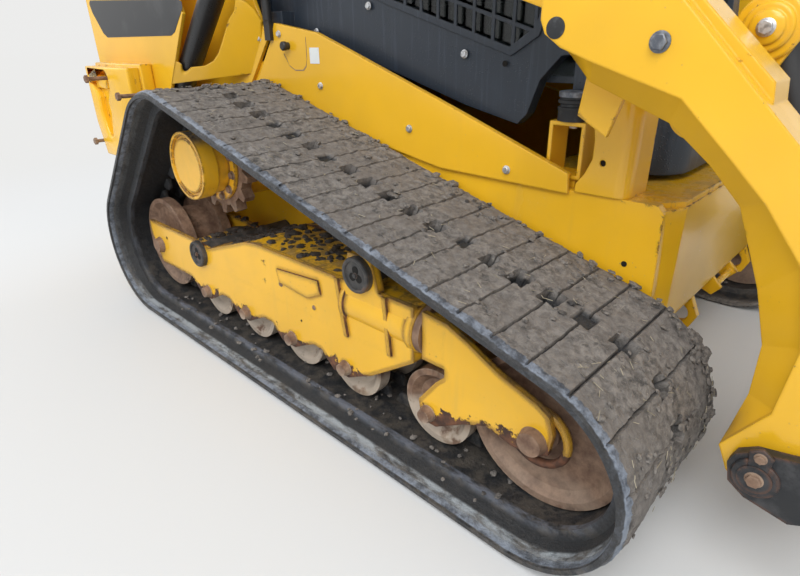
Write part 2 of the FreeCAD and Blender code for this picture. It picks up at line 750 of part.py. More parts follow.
# Torsion axles: tubes through the chassis and both track frames, with a disc at each end
torsion = []
for name, x, z in (("rear", D.axle_rear_x, D.axle_rear_z), ("front", D.axle_front_x, D.axle_front_z)):
    torsion.append(rod(f"torsion_tube_{name}", "Y", (x, z), D.torsion_radius, -D.frame_outer, D.frame_outer))
    torsion.append(rod(
        f"torsion_disc_{name}", "Y", (x, z), D.torsion_disc_radius, -D.frame_outer - D.torsion_disc, -D.frame_outer
    ))
    torsion.append(rod(
        f"torsion_end_{name}", "Y", (x, z), D.torsion_disc_radius, D.frame_outer, D.frame_outer + D.torsion_disc
    ))
keep(fuse("torsion_axles", torsion))

# Sprocket: a toothed ring bolted round the final drive
sprocket = doc.addObject("PartDesign::Body", "sprocket")
ring_sketch = sketch_in(sprocket, "XZ", -D.sprocket_width / 2)
draw_circle(ring_sketch, 0, 0, D.sprocket_root)
draw_circle(ring_sketch, 0, 0, D.drum_neck + D.axle_gap)
ring_pad = sprocket.newObject("PartDesign::Pad", "sprocket_ring")
ring_pad.Profile = ring_sketch
bind(ring_pad, "Length", D.sprocket_width)
tooth_sketch = sketch_in(sprocket, "XZ", -D.sprocket_width / 2)
draw_loop(tooth_sketch, [
    (-D.tooth_root_width / 2, D.sprocket_root - 12),
    (D.tooth_root_width / 2, D.sprocket_root - 12),
    (D.tooth_tip_width / 2, D.sprocket_tip),
    (-D.tooth_tip_width / 2, D.sprocket_tip),
])
tooth_pad = sprocket.newObject("PartDesign::Pad", "sprocket_tooth")
tooth_pad.Profile = tooth_sketch
bind(tooth_pad, "Length", D.sprocket_width)
doc.recompute()
teeth = sprocket.newObject("PartDesign::PolarPattern", "sprocket_teeth_round")
teeth.Originals = [tooth_pad]
teeth.Axis = (origin_part(sprocket, "Y_Axis"), [""])
teeth.Angle = 360
teeth.Occurrences = int(D.sprocket_teeth.number)
bind(teeth, "Occurrences", D.sprocket_teeth)
sprocket.Tip = teeth
place(sprocket, D.drive_x, -D.track_centre, D.drive_z)
keep(both("sprockets", [sprocket]))

# Final drive: motor case on the chassis side, neck through the sprocket, drum outside it
sprocket_low = D.track_centre - D.sprocket_width / 2
sprocket_high = D.track_centre + D.sprocket_width / 2
drive_profile = [
    (D.hull_half, 0),
    (D.hull_half, D.motor_radius + 18),
    (D.hull_half + 24, D.motor_radius + 18),
    (D.hull_half + 24, D.motor_radius),
    (sprocket_low - D.roll_gap, D.motor_radius),
    (sprocket_low - D.roll_gap, D.drum_neck),
    (sprocket_high + D.roll_gap, D.drum_neck),
    (sprocket_high + D.roll_gap, D.drum_radius + 20),
    (sprocket_high + 14, D.drum_radius + 20),
    (sprocket_high + 14, D.drum_radius - 10),
    (D.drum_outer - 60, D.drum_radius - 4),
    (D.drum_outer - 52, D.drum_radius),
    (D.drum_outer, D.drum_radius),
    (D.drum_outer, D.drum_radius - D.drum_rim),
    (D.drum_outer - D.drum_recess, D.drum_radius - D.drum_rim - 2),
    (D.drum_outer - D.drum_recess, D.drum_radius - 20),
    (D.drum_outer - 3, D.drum_radius - 24),
    (D.drum_outer - 3, 0),
]
keep(both("final_drives", [turned("final_drive", drive_profile, D.drive_x, D.drive_z)]))

# Chassis: a tub of side plates, belly, nose and rear plate between the tracks
hull_outline = [
    (D.hull_rear_x, D.belly_z + 200),
    (D.hull_rear_x, D.hull_top_z),
    (-410, D.hull_top_z),
    (600, D.nose_top + 10),
    (D.nose_side_x - 200, D.nose_top),
    (D.nose_side_x - 14, D.nose_top),
    (D.nose_side_x, D.nose_top - 16),
    (D.nose_side_x + 6, D.nose_low + 100),
    (D.nose_side_x, D.nose_low),
    (D.nose_belly_x, D.belly_z),
    (-850, D.belly_z),
]
hull_holes = [
    (D.axle_rear_x, D.axle_rear_z, torsion_bore),
    (D.axle_front_x, D.axle_front_z, torsion_bore),
]
hull_inner = D.hull_half - D.hull_plate
hull_sides = [
    plate("hull_side_right", "XZ", hull_outline, (-D.hull_half, -hull_inner), holes=hull_holes),
    plate("hull_side_left", "XZ", hull_outline, (hull_inner, D.hull_half), holes=hull_holes),
]
belly = plate("belly", "XZ", [
    (D.hull_rear_x, D.belly_z + 200),
    (-850, D.belly_z),
    (D.nose_belly_x, D.belly_z),
    (D.nose_side_x, D.nose_low),
    (D.nose_side_x - 14, D.nose_low + 8),
    (D.nose_belly_x - 5, D.belly_z + D.belly_plate),
    (-846, D.belly_z + D.belly_plate),
    (D.hull_rear_x, D.belly_z + 214),
], (-hull_inner, hull_inner))
nose = plate("nose", "XY", [
    (D.nose_x, -D.nose_half),
    (D.nose_x, D.nose_half),
    (D.nose_side_x - 4, D.hull_half - 1),
    (D.nose_side_x - 20, hull_inner),
    (D.nose_x - D.belly_plate, D.nose_half - 6),
    (D.nose_x - D.belly_plate, 6 - D.nose_half),
    (D.nose_side_x - 20, -hull_inner),
    (D.nose_side_x - 4, 1 - D.hull_half),
], (D.nose_low, D.nose_top - 12))
deck = plate("deck", "XY", [
    (600, -hull_inner),
    (D.nose_side_x - 20, -hull_inner),
    (D.nose_x - 4, -D.nose_half),
    (D.nose_x - 4, D.nose_half),
    (D.nose_side_x - 20, hull_inner),
    (600, hull_inner),
], (D.nose_top - D.belly_plate, D.nose_top))
skid = box(
    "nose_skid",
    (D.nose_side_x - 60, D.nose_x - D.belly_plate),
    (-D.nose_half, D.nose_half),
    (D.nose_low, D.nose_low + D.belly_plate),
)
rear_plate = box(
    "hull_rear_plate",
    (D.hull_rear_x, D.hull_rear_x + D.belly_plate),
    (-hull_inner, hull_inner),
    (D.belly_z + 200, D.hull_top_z),
)
rear_seats = []
for side in (-1, 1):
    near, far = sorted((side * 436, side * 516))
    rear_seats.append(box(
        f"rear_mount_seat_{near}",
        (D.rear_mount_x - 50, D.rear_mount_x + 50),
        (near, far),
        (D.rear_mount_z - 60, D.rear_mount_z),
    ))
keep(fuse("chassis", hull_sides + [belly, nose, deck, skid, rear_plate] + rear_seats))

# Tie-down plates under the nose
nose_rise = (D.nose_low - D.belly_z) / (D.nose_side_x - D.nose_belly_x)
eye_rear_x = D.lug_eye_x - D.lug_eye_rim
eye_outline = [
    (D.nose_side_x, D.nose_low),
    (eye_rear_x, D.belly_z + nose_rise * (eye_rear_x - D.nose_belly_x)),
    (eye_rear_x, D.lug_eye_z),
    (D.lug_eye_x - D.lug_eye_rim * 0.7, D.lug_eye_z - D.lug_eye_rim * 0.7),
    (D.lug_eye_x, D.lug_eye_z - D.lug_eye_rim),
    (D.lug_eye_x + D.lug_eye_rim * 0.7, D.lug_eye_z - D.lug_eye_rim * 0.7),
    (D.lug_eye_x + D.lug_eye_rim, D.lug_eye_z),
    (D.nose_x, D.nose_low),
]
eye_hole = [(D.lug_eye_x, D.lug_eye_z, D.lug_eye_radius)]
tie_down = plate(
    "tie_down", "XZ", eye_outline,
    (-D.lug_eye_y - D.lug_eye_plate / 2, D.lug_eye_plate / 2 - D.lug_eye_y), holes=eye_hole,
)
rear_eye = plate("rear_tie_down", "XZ", [
    (D.hull_rear_x, D.rear_eye_z + 100),
    (D.hull_rear_x, D.belly_z + 201),
    (D.rear_eye_x + D.lug_eye_rim * 0.7, D.rear_eye_z - D.lug_eye_rim * 0.7),
    (D.rear_eye_x, D.rear_eye_z - D.lug_eye_rim),
    (D.rear_eye_x - D.lug_eye_rim * 0.7, D.rear_eye_z - D.lug_eye_rim * 0.7),
    (D.rear_eye_x - D.lug_eye_rim, D.rear_eye_z),
    (D.rear_eye_x - D.lug_eye_rim * 0.7, D.rear_eye_z + D.lug_eye_rim * 0.7),
], (-D.lug_eye_y - D.lug_eye_plate / 2, D.lug_eye_plate / 2 - D.lug_eye_y),
    holes=[(D.rear_eye_x, D.rear_eye_z, D.lug_eye_radius)])
tow_plate = plate("tow_plate", "XZ", [
    (D.nose_side_x, D.nose_low),
    (D.nose_side_x - 16, D.nose_low - nose_rise * 16),
    (D.nose_side_x - 16, D.nose_low - 34),
    (D.nose_x + 4, D.nose_low - 52),
    (D.nose_x + 26, D.nose_low - 26),
    (D.nose_x, D.nose_low),
], (-84, -70))
tow_pin = rod("tow_pin", "Y", (D.nose_x + 4, D.nose_low - 30), 9, -84, 0)
keep(both("tie_down_plates", [tie_down, rear_eye, tow_plate, tow_pin]))

# Side panel: folded sheet that covers the chassis side above the track
panel_crest = [
    (-300, 1016),
    (-88, 984),
    (66, 932),
    (474, 791),
    (786, 679),
]
panel_outline = [(-326, 966)] + panel_crest + [
    (790, 634),
    (412, 641),
    (-470, 790),
]
lip_outline = panel_crest + [(x - 3, z - 12) for x, z in reversed(panel_crest)]
panel = plate("panel_sheet", "XZ", panel_outline, (-D.panel_y, D.panel_plate - D.panel_y))
lip = plate("panel_top", "XZ", lip_outline, (-D.panel_y, D.panel_lip - D.panel_y))
keep(both("side_panels", [fuse("side_panel", [panel, lip])]))

# Front post: a folded channel with a hollowed rear edge, and the box under the cab mount beside it
post_out = D.hull_half + D.post_plate / 2
post_fold = plate("post_fold", "XY", [
    (804, -post_out),
    (D.post_front_x, -post_out),
    (D.post_front_x, -D.post_inner),
    (D.post_front_x - D.post_plate, -D.post_inner),
    (D.post_front_x - D.post_plate, D.post_plate - post_out),
    (804, D.post_plate - post_out),
], (D.nose_top, D.post_top), rounds=[
    (30, [(D.post_front_x, -post_out)]),
    (18, [(D.post_front_x - D.post_plate, D.post_plate - post_out)]),
])
post_side = plate("post_profile", "XZ", [
    (804, D.nose_top - 1),
    (D.post_front_x + 1, D.nose_top - 1),
    (D.post_front_x + 1, D.post_top + 1),
    (828, D.post_top + 1),
    (832, 791),
    (838, 760),
    (838, 718),
    (824, 684),
    (806, 660),
], (-post_out - 1, 1 - D.post_inner), holes=[(862, 712, 7)])
bracket = plate("mount_bracket", "XZ", [
    (D.mount_x - D.mount_half, 662),
    (D.mount_x + D.mount_half, 662),
    (D.mount_x + D.mount_half, D.mount_top),
    (D.mount_x - D.mount_half, D.mount_top),
], (-D.mount_outer, -D.mount_inner), cutouts=[[
    (D.mount_x - D.mount_half + D.mount_plate, 662 + D.mount_plate),
    (D.mount_x + D.mount_half - D.mount_plate, 662 + D.mount_plate),
    (D.mount_x + D.mount_half - D.mount_plate, D.mount_top - D.mount_plate),
    (D.mount_x - D.mount_half + D.mount_plate, D.mount_top - D.mount_plate),
]])
bracket_foot = box(
    "bracket_foot", (D.mount_x - 30, D.mount_x + 30), (-hull_inner, -D.mount_inner), (D.nose_top, 666)
)
keep(both("front_posts", [common("front_post", [post_fold, post_side])]))
keep(both("mount_brackets", [fuse("mount_box", [bracket, bracket_foot])]))

# Rubber cab mounts, front and rear
isolators = [
    rod("isolator_front", "Z", (D.mount_x, -D.isolator_y), D.isolator_radius,
        D.mount_top, D.mount_top + D.isolator_height),
    rod("isolator_rear", "Z", (D.rear_mount_x, -D.rear_mount_y), D.isolator_radius,
        D.rear_mount_z, D.rear_mount_z + D.isolator_height),
]
keep(both("cab_mounts", isolators))

# Struts that hold the cab up when it is swung back for service
strut = [
    rod("strut_tube", "Z", (D.strut_x, -D.panel_y - 6), 15, D.strut_foot, D.strut_foot + 96),
    rod("strut_rod", "Z", (D.strut_x, -D.panel_y - 6), 8, D.strut_foot + 96, D.strut_top),
    box("strut_foot", (D.strut_x - 14, D.strut_x + 16), (-D.panel_y - 14, -D.panel_y), (D.strut_foot - 60, D.strut_foot)),
    rod("strut_pin", "Y", (D.strut_x, D.strut_top), 12, -D.panel_y - 20, -D.cab_half),
]
keep(both("cab_struts", [fuse("cab_strut", strut)]))

# Tower: outer and inner plates with a rear plate, open inside for the boom and the lift cylinder
head_outline = [
    (-700, 1270),
    (D.arm_pivot_x + D.tower_head, D.arm_pivot_z + 40),
    (D.arm_pivot_x + 50, D.arm_pivot_z + D.tower_head),
    (D.arm_pivot_x - 60, D.arm_pivot_z + D.tower_head),
    (D.arm_pivot_x - D.tower_head, D.arm_pivot_z + 50),
    (D.tower_rear_x - 10, 1180),
]
tower_outline = [
    (D.tower_rear_x, D.tower_foot_z),
    (-925, D.tower_foot_z),
    (-880, 640),
    (-766, 821),
    (-592, 1050),
] + head_outline
inner_outline = [
    (D.tower_rear_x, 700),
    (-880, 700),
    (-480, 816),
    (-342, 970),
    (-420, 1130),
] + head_outline
pivot_hole = [(D.arm_pivot_x, D.arm_pivot_z, D.pivot_radius + D.pin_gap)]
tower_gap_out = D.tower_outer - D.tower_plate
tower_gap_in = D.tower_inner + D.tower_plate
tower_plates = [
    plate("tower_outer_plate", "XZ", tower_outline, (-D.tower_outer, -tower_gap_out), holes=pivot_hole),
    plate("tower_inner_plate", "XZ", inner_outline, (-tower_gap_in, -D.tower_inner), holes=pivot_hole),
    box(
        "tower_back",
        (D.tower_rear_x, D.tower_rear_x + D.tower_plate),
        (-D.tower_outer, -D.tower_inner),
        (D.tower_foot_z, 1180),
    ),
    box(
        "tower_foot",
        (D.tower_rear_x, -930),
        (-D.tower_outer, -D.tower_inner),
        (D.tower_foot_z, D.tower_foot_z + D.tower_plate),
    ),
]


# Slanted web from the tower's outer plate in to the side panel, notched for the lift cylinder
def web_y(x, z):
    """Distance from the centreline of the web's plane at a place in side view."""
    return (6955424 + 38472 * x - 29232 * z) / 66448


web_outline = [
    (-766, 821),
    (-450, 859),
    (-402, 924),
    (-357, 1021),
    (-364, 1056),
    (-380, 1080),
    (-402, 1092),
    (-423, 1057),
    (-456, 1029),
    (-515, 958),
    (-543, 926),
    (-573, 901),
    (-611, 885),
    (-673, 879),
    (-706, 900),
]
web_points = [Vector(x, web_y(x, z), z) for x, z in web_outline]
web_face = Part.Face(Part.makePolygon(web_points + web_points[:1]))
web_solid = web_face.extrude(Vector(0, D.web_plate.number, 0))
web_keep = Part.makeBox(500, 400, 400, Vector(-800, -D.tower_outer.number, 780))
web_keep = web_keep.cut(Part.makeBox(600, 400, 600, Vector(-850, -D.panel_y.number, 700)))
ram_foot = Vector(D.lift_base_x.number, -D.lift_y.number, D.lift_base_z.number)
ram_line = Vector(D.lift_end_x.number, -D.lift_y.number, D.lift_end_z.number) - ram_foot
web_keep = web_keep.cut(Part.makeCylinder(D.lift_barrel_radius.number + 8, 900, ram_foot, ram_line))
web = solid("tower_web", web_solid.common(web_keep))

lift_lug_outline = [
    (D.lift_base_x - 70, D.tower_foot_z),
    (D.lift_base_x + 70, D.tower_foot_z),
    (D.lift_base_x + 40, D.lift_base_z + 44),
    (D.lift_base_x - 40, D.lift_base_z + 44),
]
lift_pin_hole = [(D.lift_base_x, D.lift_base_z, 25 + D.pin_gap)]
lift_lugs = [
    plate("lift_lug_out", "XZ", lift_lug_outline, (-D.lift_y - 50, -D.lift_y - 45), holes=lift_pin_hole),
    plate("lift_lug_in", "XZ", lift_lug_outline, (-D.lift_y + 45, -D.lift_y + 57), holes=lift_pin_hole),
]
keep(both("towers", [fuse("tower", tower_plates + [web] + lift_lugs)]))

# Counterweight: two cast slabs bolted to each tower
slabs = []
for name, low, high, inset in (
    ("inner", D.tower_outer + D.weight_gap, D.weight_split, 0),
    ("outer", D.weight_split, D.weight_outer, 12),
):
    slabs.append(plate(f"weight_{name}", "XZ", [
        (D.weight_rear_x + 40, D.weight_low + inset),
        (D.weight_front_x - inset, D.weight_low + inset),
        (D.weight_front_x + 20 - inset, D.weight_top - 190),
        (D.weight_front_x + 20 - inset, D.weight_top - inset),
        (D.weight_rear_x, D.weight_top - inset),
        (D.weight_rear_x, D.weight_low + 150),
    ], (-high, -low)))
keep(both("counterweights", slabs))

# Engine and pumps, as one plain mass
keep(box("engine", (-1150, -480), (-300, 300), (D.belly_z + 137, 1000)))

# Cab: welded frame of side walls, rear wall, sill and pillars, open inside
side_shape = [
    (D.cab_rear_x, 1040),
    (-168, 975),
    (440, 800),
    (600, 765),
    (625, 790),
    (654, 870),
    (704, 923),
    (D.cab_front_x, 930),
    (D.cab_front_x, 1010),
    (D.cab_brow_x, D.cab_roof_z),
    (D.cab_rear_x, D.cab_roof_z),
]
side_window = [
    (D.cab_rear_x + 90, 1210),
    (168, 1062),
    (566, 938),
    (630, 975),
    (642, 1020),
    (D.cab_brow_x - 80, D.cab_roof_z - 90),
    (D.cab_rear_x + 90, D.cab_roof_z - 90),
]
wall_low = D.cab_half - D.cab_wall
side_wall = plate("cab_side_wall", "XZ", side_shape, (-D.cab_half, -wall_low), cutouts=[side_window])
pillar = plate("cab_pillar", "XZ", [
    (D.cab_front_x - 60, D.mount_top + D.isolator_height),
    (D.cab_front_x, D.mount_top + D.isolator_height),
    (D.cab_front_x, 1010),
    (D.cab_brow_x, D.cab_roof_z),
    (D.cab_brow_x - 60, D.cab_roof_z),
    (D.cab_front_x - 60, 1010),
], (-D.cab_half, -D.door_half - D.door_gap))
rear_foot = box(
    "cab_rear_foot",
    (D.cab_rear_x, D.rear_mount_x + 50),
    (-D.rear_mount_y - 45, -wall_low + 30),
    (D.rear_mount_z + D.isolator_height, 1050),
)
rear_wall = plate("cab_rear_wall", "YZ", [
    (-wall_low, D.cab_floor_z),
    (wall_low, D.cab_floor_z),
    (wall_low, D.cab_roof_z),
    (-wall_low, D.cab_roof_z),
], (D.cab_rear_x, D.cab_rear_x + D.cab_wall), cutouts=[[
    (-340, 1560),
    (340, 1560),
    (340, 1950),
    (-340, 1950),
]])
sill = box(
    "cab_sill",
    (D.cab_front_x - 60, D.cab_front_x),
    (-wall_low, wall_low),
    (D.cab_floor_z, D.door_low - D.door_gap),
)
header = box(
    "cab_header",
    (D.cab_brow_x - 60, D.cab_brow_x),
    (-wall_low, wall_low),
    (D.cab_roof_z - D.door_head + D.door_gap, D.cab_roof_z),
)
foot_corners = [(D.footwell_x, -D.footwell_half), (D.footwell_x, D.footwell_half)]
footwell_outside = plate("footwell_outside", "XY", [
    (D.cab_front_x - 50, -D.footwell_half),
    foot_corners[0],
    foot_corners[1],
    (D.cab_front_x - 50, D.footwell_half),
], (D.footwell_low, D.footwell_top), rounds=[(D.footwell_round, foot_corners)])
hollow_half = D.footwell_half - D.footwell_wall
hollow_corners = [(D.footwell_x - D.footwell_wall, -hollow_half), (D.footwell_x - D.footwell_wall, hollow_half)]
footwell_inside = plate("footwell_inside", "XY", [
    (D.cab_front_x - 51, -hollow_half),
    hollow_corners[0],
    hollow_corners[1],
    (D.cab_front_x - 51, hollow_half),
], (D.footwell_low + D.footwell_wall, D.footwell_top - D.footwell_wall),
    rounds=[(D.footwell_round - D.footwell_wall, hollow_corners)])
footwell = cut("footwell", footwell_outside, footwell_inside)
cab_right = [side_wall, pillar, rear_foot]
cab_left = [mirrored(f"{piece.Label}_left", piece) for piece in cab_right]
keep(fuse("cab_frame", cab_right + cab_left + [rear_wall, sill, header, footwell]))
keep(box(
    "cab_floor",
    (D.cab_rear_x + D.cab_wall, D.cab_front_x - 60),
    (-wall_low, wall_low),
    (D.cab_floor_z, D.cab_floor_z + 16),
))
keep(plate("cab_roof", "XZ", [
    (D.cab_rear_x - 30, D.cab_roof_z),
    (D.cab_brow_x + 70, D.cab_roof_z),
    (D.cab_brow_x + 60, D.cab_roof_z + 24),
    (D.cab_brow_x - 60, D.cab_top_z),
    (D.cab_rear_x + 60, D.cab_top_z),
    (D.cab_rear_x - 30, D.cab_roof_z + 30),
], (-D.cab_half - 12, D.cab_half + 12)))

# Glass behind the guards, and in the rear wall
pane_y = D.cab_half - 20
side_pane = plate("side_pane", "XZ", side_window, (-pane_y - D.glass, -pane_y))
rear_pane = box("rear_pane", (D.cab_rear_x + 10, D.cab_rear_x + 10 + D.glass), (-340, 340), (1560, 1950))
keep(fuse("cab_glass", [side_pane, mirrored("side_pane_left", side_pane), rear_pane]))

# Window guard over each side window: upright bars, with rows that run parallel to its lower edge
guard_outline = [
    (D.cab_rear_x + 70, 1215),
    (168, 1046),
    (572, 921),
    (645, 965),
    (660, 1016),
    (D.cab_brow_x - 64, D.cab_roof_z - 74),
    (D.cab_rear_x + 70, D.cab_roof_z - 74),
]
guard_sheet = plate("guard_sheet", "XZ", guard_outline, (-D.cab_half - D.guard_plate, -D.cab_half))
guard_field = plate("guard_field", "XZ", [
    (D.cab_rear_x + 84, 1224),
    (168, 1062),
    (566, 940),
    (634, 984),
    (646, 1018),
    (D.cab_brow_x - 78, D.cab_roof_z - 88),
    (D.cab_rear_x + 84, D.cab_roof_z - 88),
], (-D.cab_half - D.guard_plate - 1, -D.cab_half + 1))
columns = math.ceil((960 + D.guard_step_x.number) / D.guard_step_x.number)
levels = math.ceil(1400 / D.guard_step_z.number)
slope = D.guard_slope.number
cells = []
for i in range(-10, columns - 9):
    left = D.guard_first_x.number + i * D.guard_step_x.number
    right = left + D.guard_step_x.number - D.guard_bar.number
    for k in range(levels):
        base = D.guard_first_z.number - slope * (left - D.guard_first_x.number) + k * D.guard_step_z.number
        drop = slope * (right - left)
        top = D.guard_step_z.number - D.guard_bar.number
        corners = [(left, base), (right, base - drop), (right, base - drop + top), (left, base + top)]
        ring = [Vector(x, -D.cab_half.number - 20, z) for x, z in corners + corners[:1]]
        cells.append(Part.Face(Part.makePolygon(ring)).extrude(Vector(0, 40, 0)))
cell_block = solid("guard_cells", Part.makeCompound(cells))
guard_holes = common("guard_holes", [guard_field, cell_block])
keep(both("window_guards", [cut("guard_right", guard_sheet, guard_holes)]))

# Seat and the two control pods
seat_parts = [
    box("seat_cushion", (-60, 380), (-250, 250), (1120, 1230)),
    plate("seat_back", "XZ", [(-180, 1230), (-40, 1200), (-110, 1720), (-230, 1700)], (-240, 240)),
    box("seat_base", (-40, 300), (-180, 180), (D.cab_floor_z + 16, 1120)),
]
keep(fuse("seat", seat_parts))
pod = plate("control_pod", "XZ", [
    (-100, 1060),
    (330, 1060),
    (420, 1230),
    (400, 1290),
    (-100, 1290),
], (-wall_low, -290))
stick = rod("joystick", "Z", (360, -350), 22, 1285, 1420)
keep(both("control_pods", [pod, stick]))

# Cab door: a frame with its glass, hinged on the left pillar
door_face_x = D.cab_front_x + 0.5
lean = (D.cab_front_x - D.cab_brow_x) / (D.cab_roof_z - 1010)
door_top = D.cab_roof_z - D.door_head
door_shift = lean * (door_top - 1010)
door_window = [
    (60 - D.door_half, D.door_low + 70),
    (D.door_half - 60, D.door_low + 70),
    (D.door_half - 60, door_top - 60),
    (60 - D.door_half, door_top - 60),
]


def leaning(label, near, far):
    """A slab that follows the leaning front of the cab between two depths."""
    return plate(label, "XZ", [
        (near, D.door_low),
        (far, D.door_low),
        (far, 1010),
        (far - door_shift, door_top),
        (near - door_shift, door_top),
        (near, 1010),
    ], (-D.door_half, D.door_half))


door_slab = leaning("door_slab", door_face_x, door_face_x + D.door_depth)
door_hollow = plate("door_hollow", "YZ", door_window, (D.cab_brow_x - 100, D.cab_front_x + 100))
door_panel = cut("door_panel", door_slab, door_hollow)
door_pane = plate("door_pane", "YZ", door_window, (D.cab_brow_x - 100, D.cab_front_x + 100))
glass_slab = leaning("door_glass_slab", door_face_x + 12, door_face_x + 12 + D.glass)
keep(common("door_glass", [glass_slab, door_pane]))

# Fixed cowl behind the cab, with the exhaust outlet through it
cowl = box("cowl", (D.hood_front_x + 6, D.cab_rear_x - 6), (-D.bay_half - 46, D.bay_half + 46), (1330, D.hood_top))
keep(cowl)
keep(rod("exhaust_outlet", "Z", (-490, 330), 34, D.hood_top, D.hood_top + 150))

# Hood over the engine bay, and the bay's fixed sides
hood_panel = plate("hood_panel", "XZ", [
    (D.hood_front_x, D.hood_top),
    (D.hood_front_x, D.hood_top - 24),
    (D.hood_rear_x + 30, D.hood_top - 84),
    (D.hood_rear_x, D.hood_top - 84),
    (D.hood_rear_x, D.hood_top - 60),
], (-D.bay_half, D.bay_half))
hood_slots = []
for k in range(11):
    slot_x = D.hood_rear_x + D.hood_grille + D.grille_step * k
    hood_slots.append(box(
        f"hood_slot_{k}",
        (slot_x, slot_x + D.grille_slot),
        (-D.grille_half, D.grille_half),
        (D.hood_top - 100, D.hood_top),
    ))
hood_screen = cut("hood_screen", hood_panel, fuse("hood_slots", hood_slots))
shroud = plate("bay_side", "XZ", [
    (D.cab_rear_x - 6, D.hull_top_z),
    (D.cab_rear_x - 6, 1330),
    (D.hood_front_x + 6, 1330),
    (D.hood_front_x, D.hood_top),
    (D.hood_rear_x + 4, D.hood_top - 60),
    (D.hood_rear_x + 4, D.hull_top_z),
], (-D.bay_half - 46, -D.bay_half - 6))
shroud_base = box(
    "bay_side_base", (D.hood_rear_x + 44, -420), (-D.hull_half, -D.bay_half - 6), (D.hull_top_z, D.hull_top_z + 16)
)
keep(both("bay_sides", [fuse("bay_wall", [shroud, shroud_base])]))
keep(box("cooler", (-1250, -620), (-D.bay_half - 6, D.bay_half + 6), (1180, 1290)))

# Rear door between the towers
rear_panel = plate("rear_panel", "XZ", [
    (D.door_rear_x + 40, D.door_rear_low),
    (D.hood_rear_x - 6, D.door_rear_low),
    (D.hood_rear_x - 6, D.hood_top - 70),
    (D.door_rear_x + 24, D.hood_top - 90),
    (D.door_rear_x, D.hood_top - 240),
    (D.door_rear_x, D.door_rear_low + 120),
], (6 - D.tower_inner, D.tower_inner - 6))
rear_slots = []
for k in range(8):
    slot_z = D.door_rear_low + D.door_grille + D.grille_step * k
    rear_slots.append(box(
        f"rear_slot_{k}",
        (D.door_rear_x - 1, D.door_rear_x + D.grille_depth),
        (-D.grille_half, D.grille_half),
        (slot_z, slot_z + D.grille_slot),
    ))
rear_grille = cut("rear_grille", rear_panel, fuse("rear_slots", rear_slots))

# Hinges: a fixed knuckle with its pin, and a knuckle that turns on it, along one axis
door_axis_x = door_face_x + D.door_depth + D.hinge_radius
door_axis_y = D.door_half + D.hinge_radius
rear_axis_x = D.door_rear_x + 50
rear_axis_y = D.tower_inner + D.hinge_radius + 6


def knuckles(label, foot, way, reach, fixed_leaf, moving_leaf):
    """A hinge from its foot along way: returns the fixed half and the half that turns."""
    half = reach / 2
    radius = D.hinge_radius.number
    pin_radius = D.hinge_pin.number
    middle = foot + way * (half + D.roll_gap.number)
    fixed = Part.makeCylinder(radius, half, foot, way).fuse([
        Part.makeCylinder(pin_radius, reach, foot, way),
        fixed_leaf,
    ])
    bore = Part.makeCylinder(pin_radius + D.pin_gap.number, reach, middle - way, way)
    moving = Part.makeCylinder(radius, half, middle, way).fuse(moving_leaf).cut(bore)
    return fixed.removeSplitter(), moving.removeSplitter()


def block(low, high):
    return Part.makeBox(high[0] - low[0], high[1] - low[1], high[2] - low[2], Vector(*low))


hood_fixed = []
hood_moving = []
hood_axis = (D.hood_front_x.number + 3, D.hood_top.number + D.hinge_radius.number)
for start in (-300, 200):
    foot = Vector(hood_axis[0], start, hood_axis[1])
    plates = [
        block((hood_axis[0], start, hood_axis[1] - 8.9), (hood_axis[0] + 34, start + 50, hood_axis[1] - 2)),
        block((hood_axis[0] - 34, start + 52, hood_axis[1] - 12), (hood_axis[0], start + 98, hood_axis[1] - 2)),
    ]
    still, turning = knuckles("hood_hinge", foot, Vector(0, 1, 0), 100, *plates)
    hood_fixed.append(still)
    hood_moving.append(turning)
keep(fuse("hood", [hood_screen, solid("hood_knuckles", Part.makeCompound(hood_moving))]))

door_way = Vector(-lean.number, 0, 1).normalize()
door_fixed = []
door_moving = []
for height in (1120, 1840):
    x = door_axis_x.number - lean.number * (height - 1010)
    foot = Vector(x, door_axis_y.number, height)
    shift = lean.number * 100
    post_face_x = D.cab_front_x.number - lean.number * (height - 1010)
    leaf = Part.makePolygon([
        Vector(px, door_axis_y.number, pz)
        for px, pz in (
            (post_face_x, height), (x, height), (x - shift * 0.48, height + 48),
            (post_face_x - shift * 0.48, height + 48), (post_face_x, height),
        )
    ])
    still_leaf = Part.Face(leaf).extrude(Vector(0, D.hinge_radius.number, 0))
    near, far = height + 52, height + 98
    slab_x = door_face_x.number + D.door_depth.number - lean.number * (near - 1010)
    tab = Part.makePolygon([
        Vector(px, D.door_half.number - 30, pz)
        for px, pz in (
            (slab_x, near), (slab_x + 10, near), (slab_x + 10 - shift * 0.46, far),
            (slab_x - shift * 0.46, far), (slab_x, near),
        )
    ])
    turning_leaf = Part.Face(tab).extrude(Vector(0, 30 + D.hinge_radius.number, 0))
    still, turning = knuckles("door_hinge", foot, door_way, 100, still_leaf, turning_leaf)
    door_fixed.append(still)
    door_moving.append(turning)
keep(fuse("cab_door", [door_panel, solid("door_knuckles", Part.makeCompound(door_moving))]))

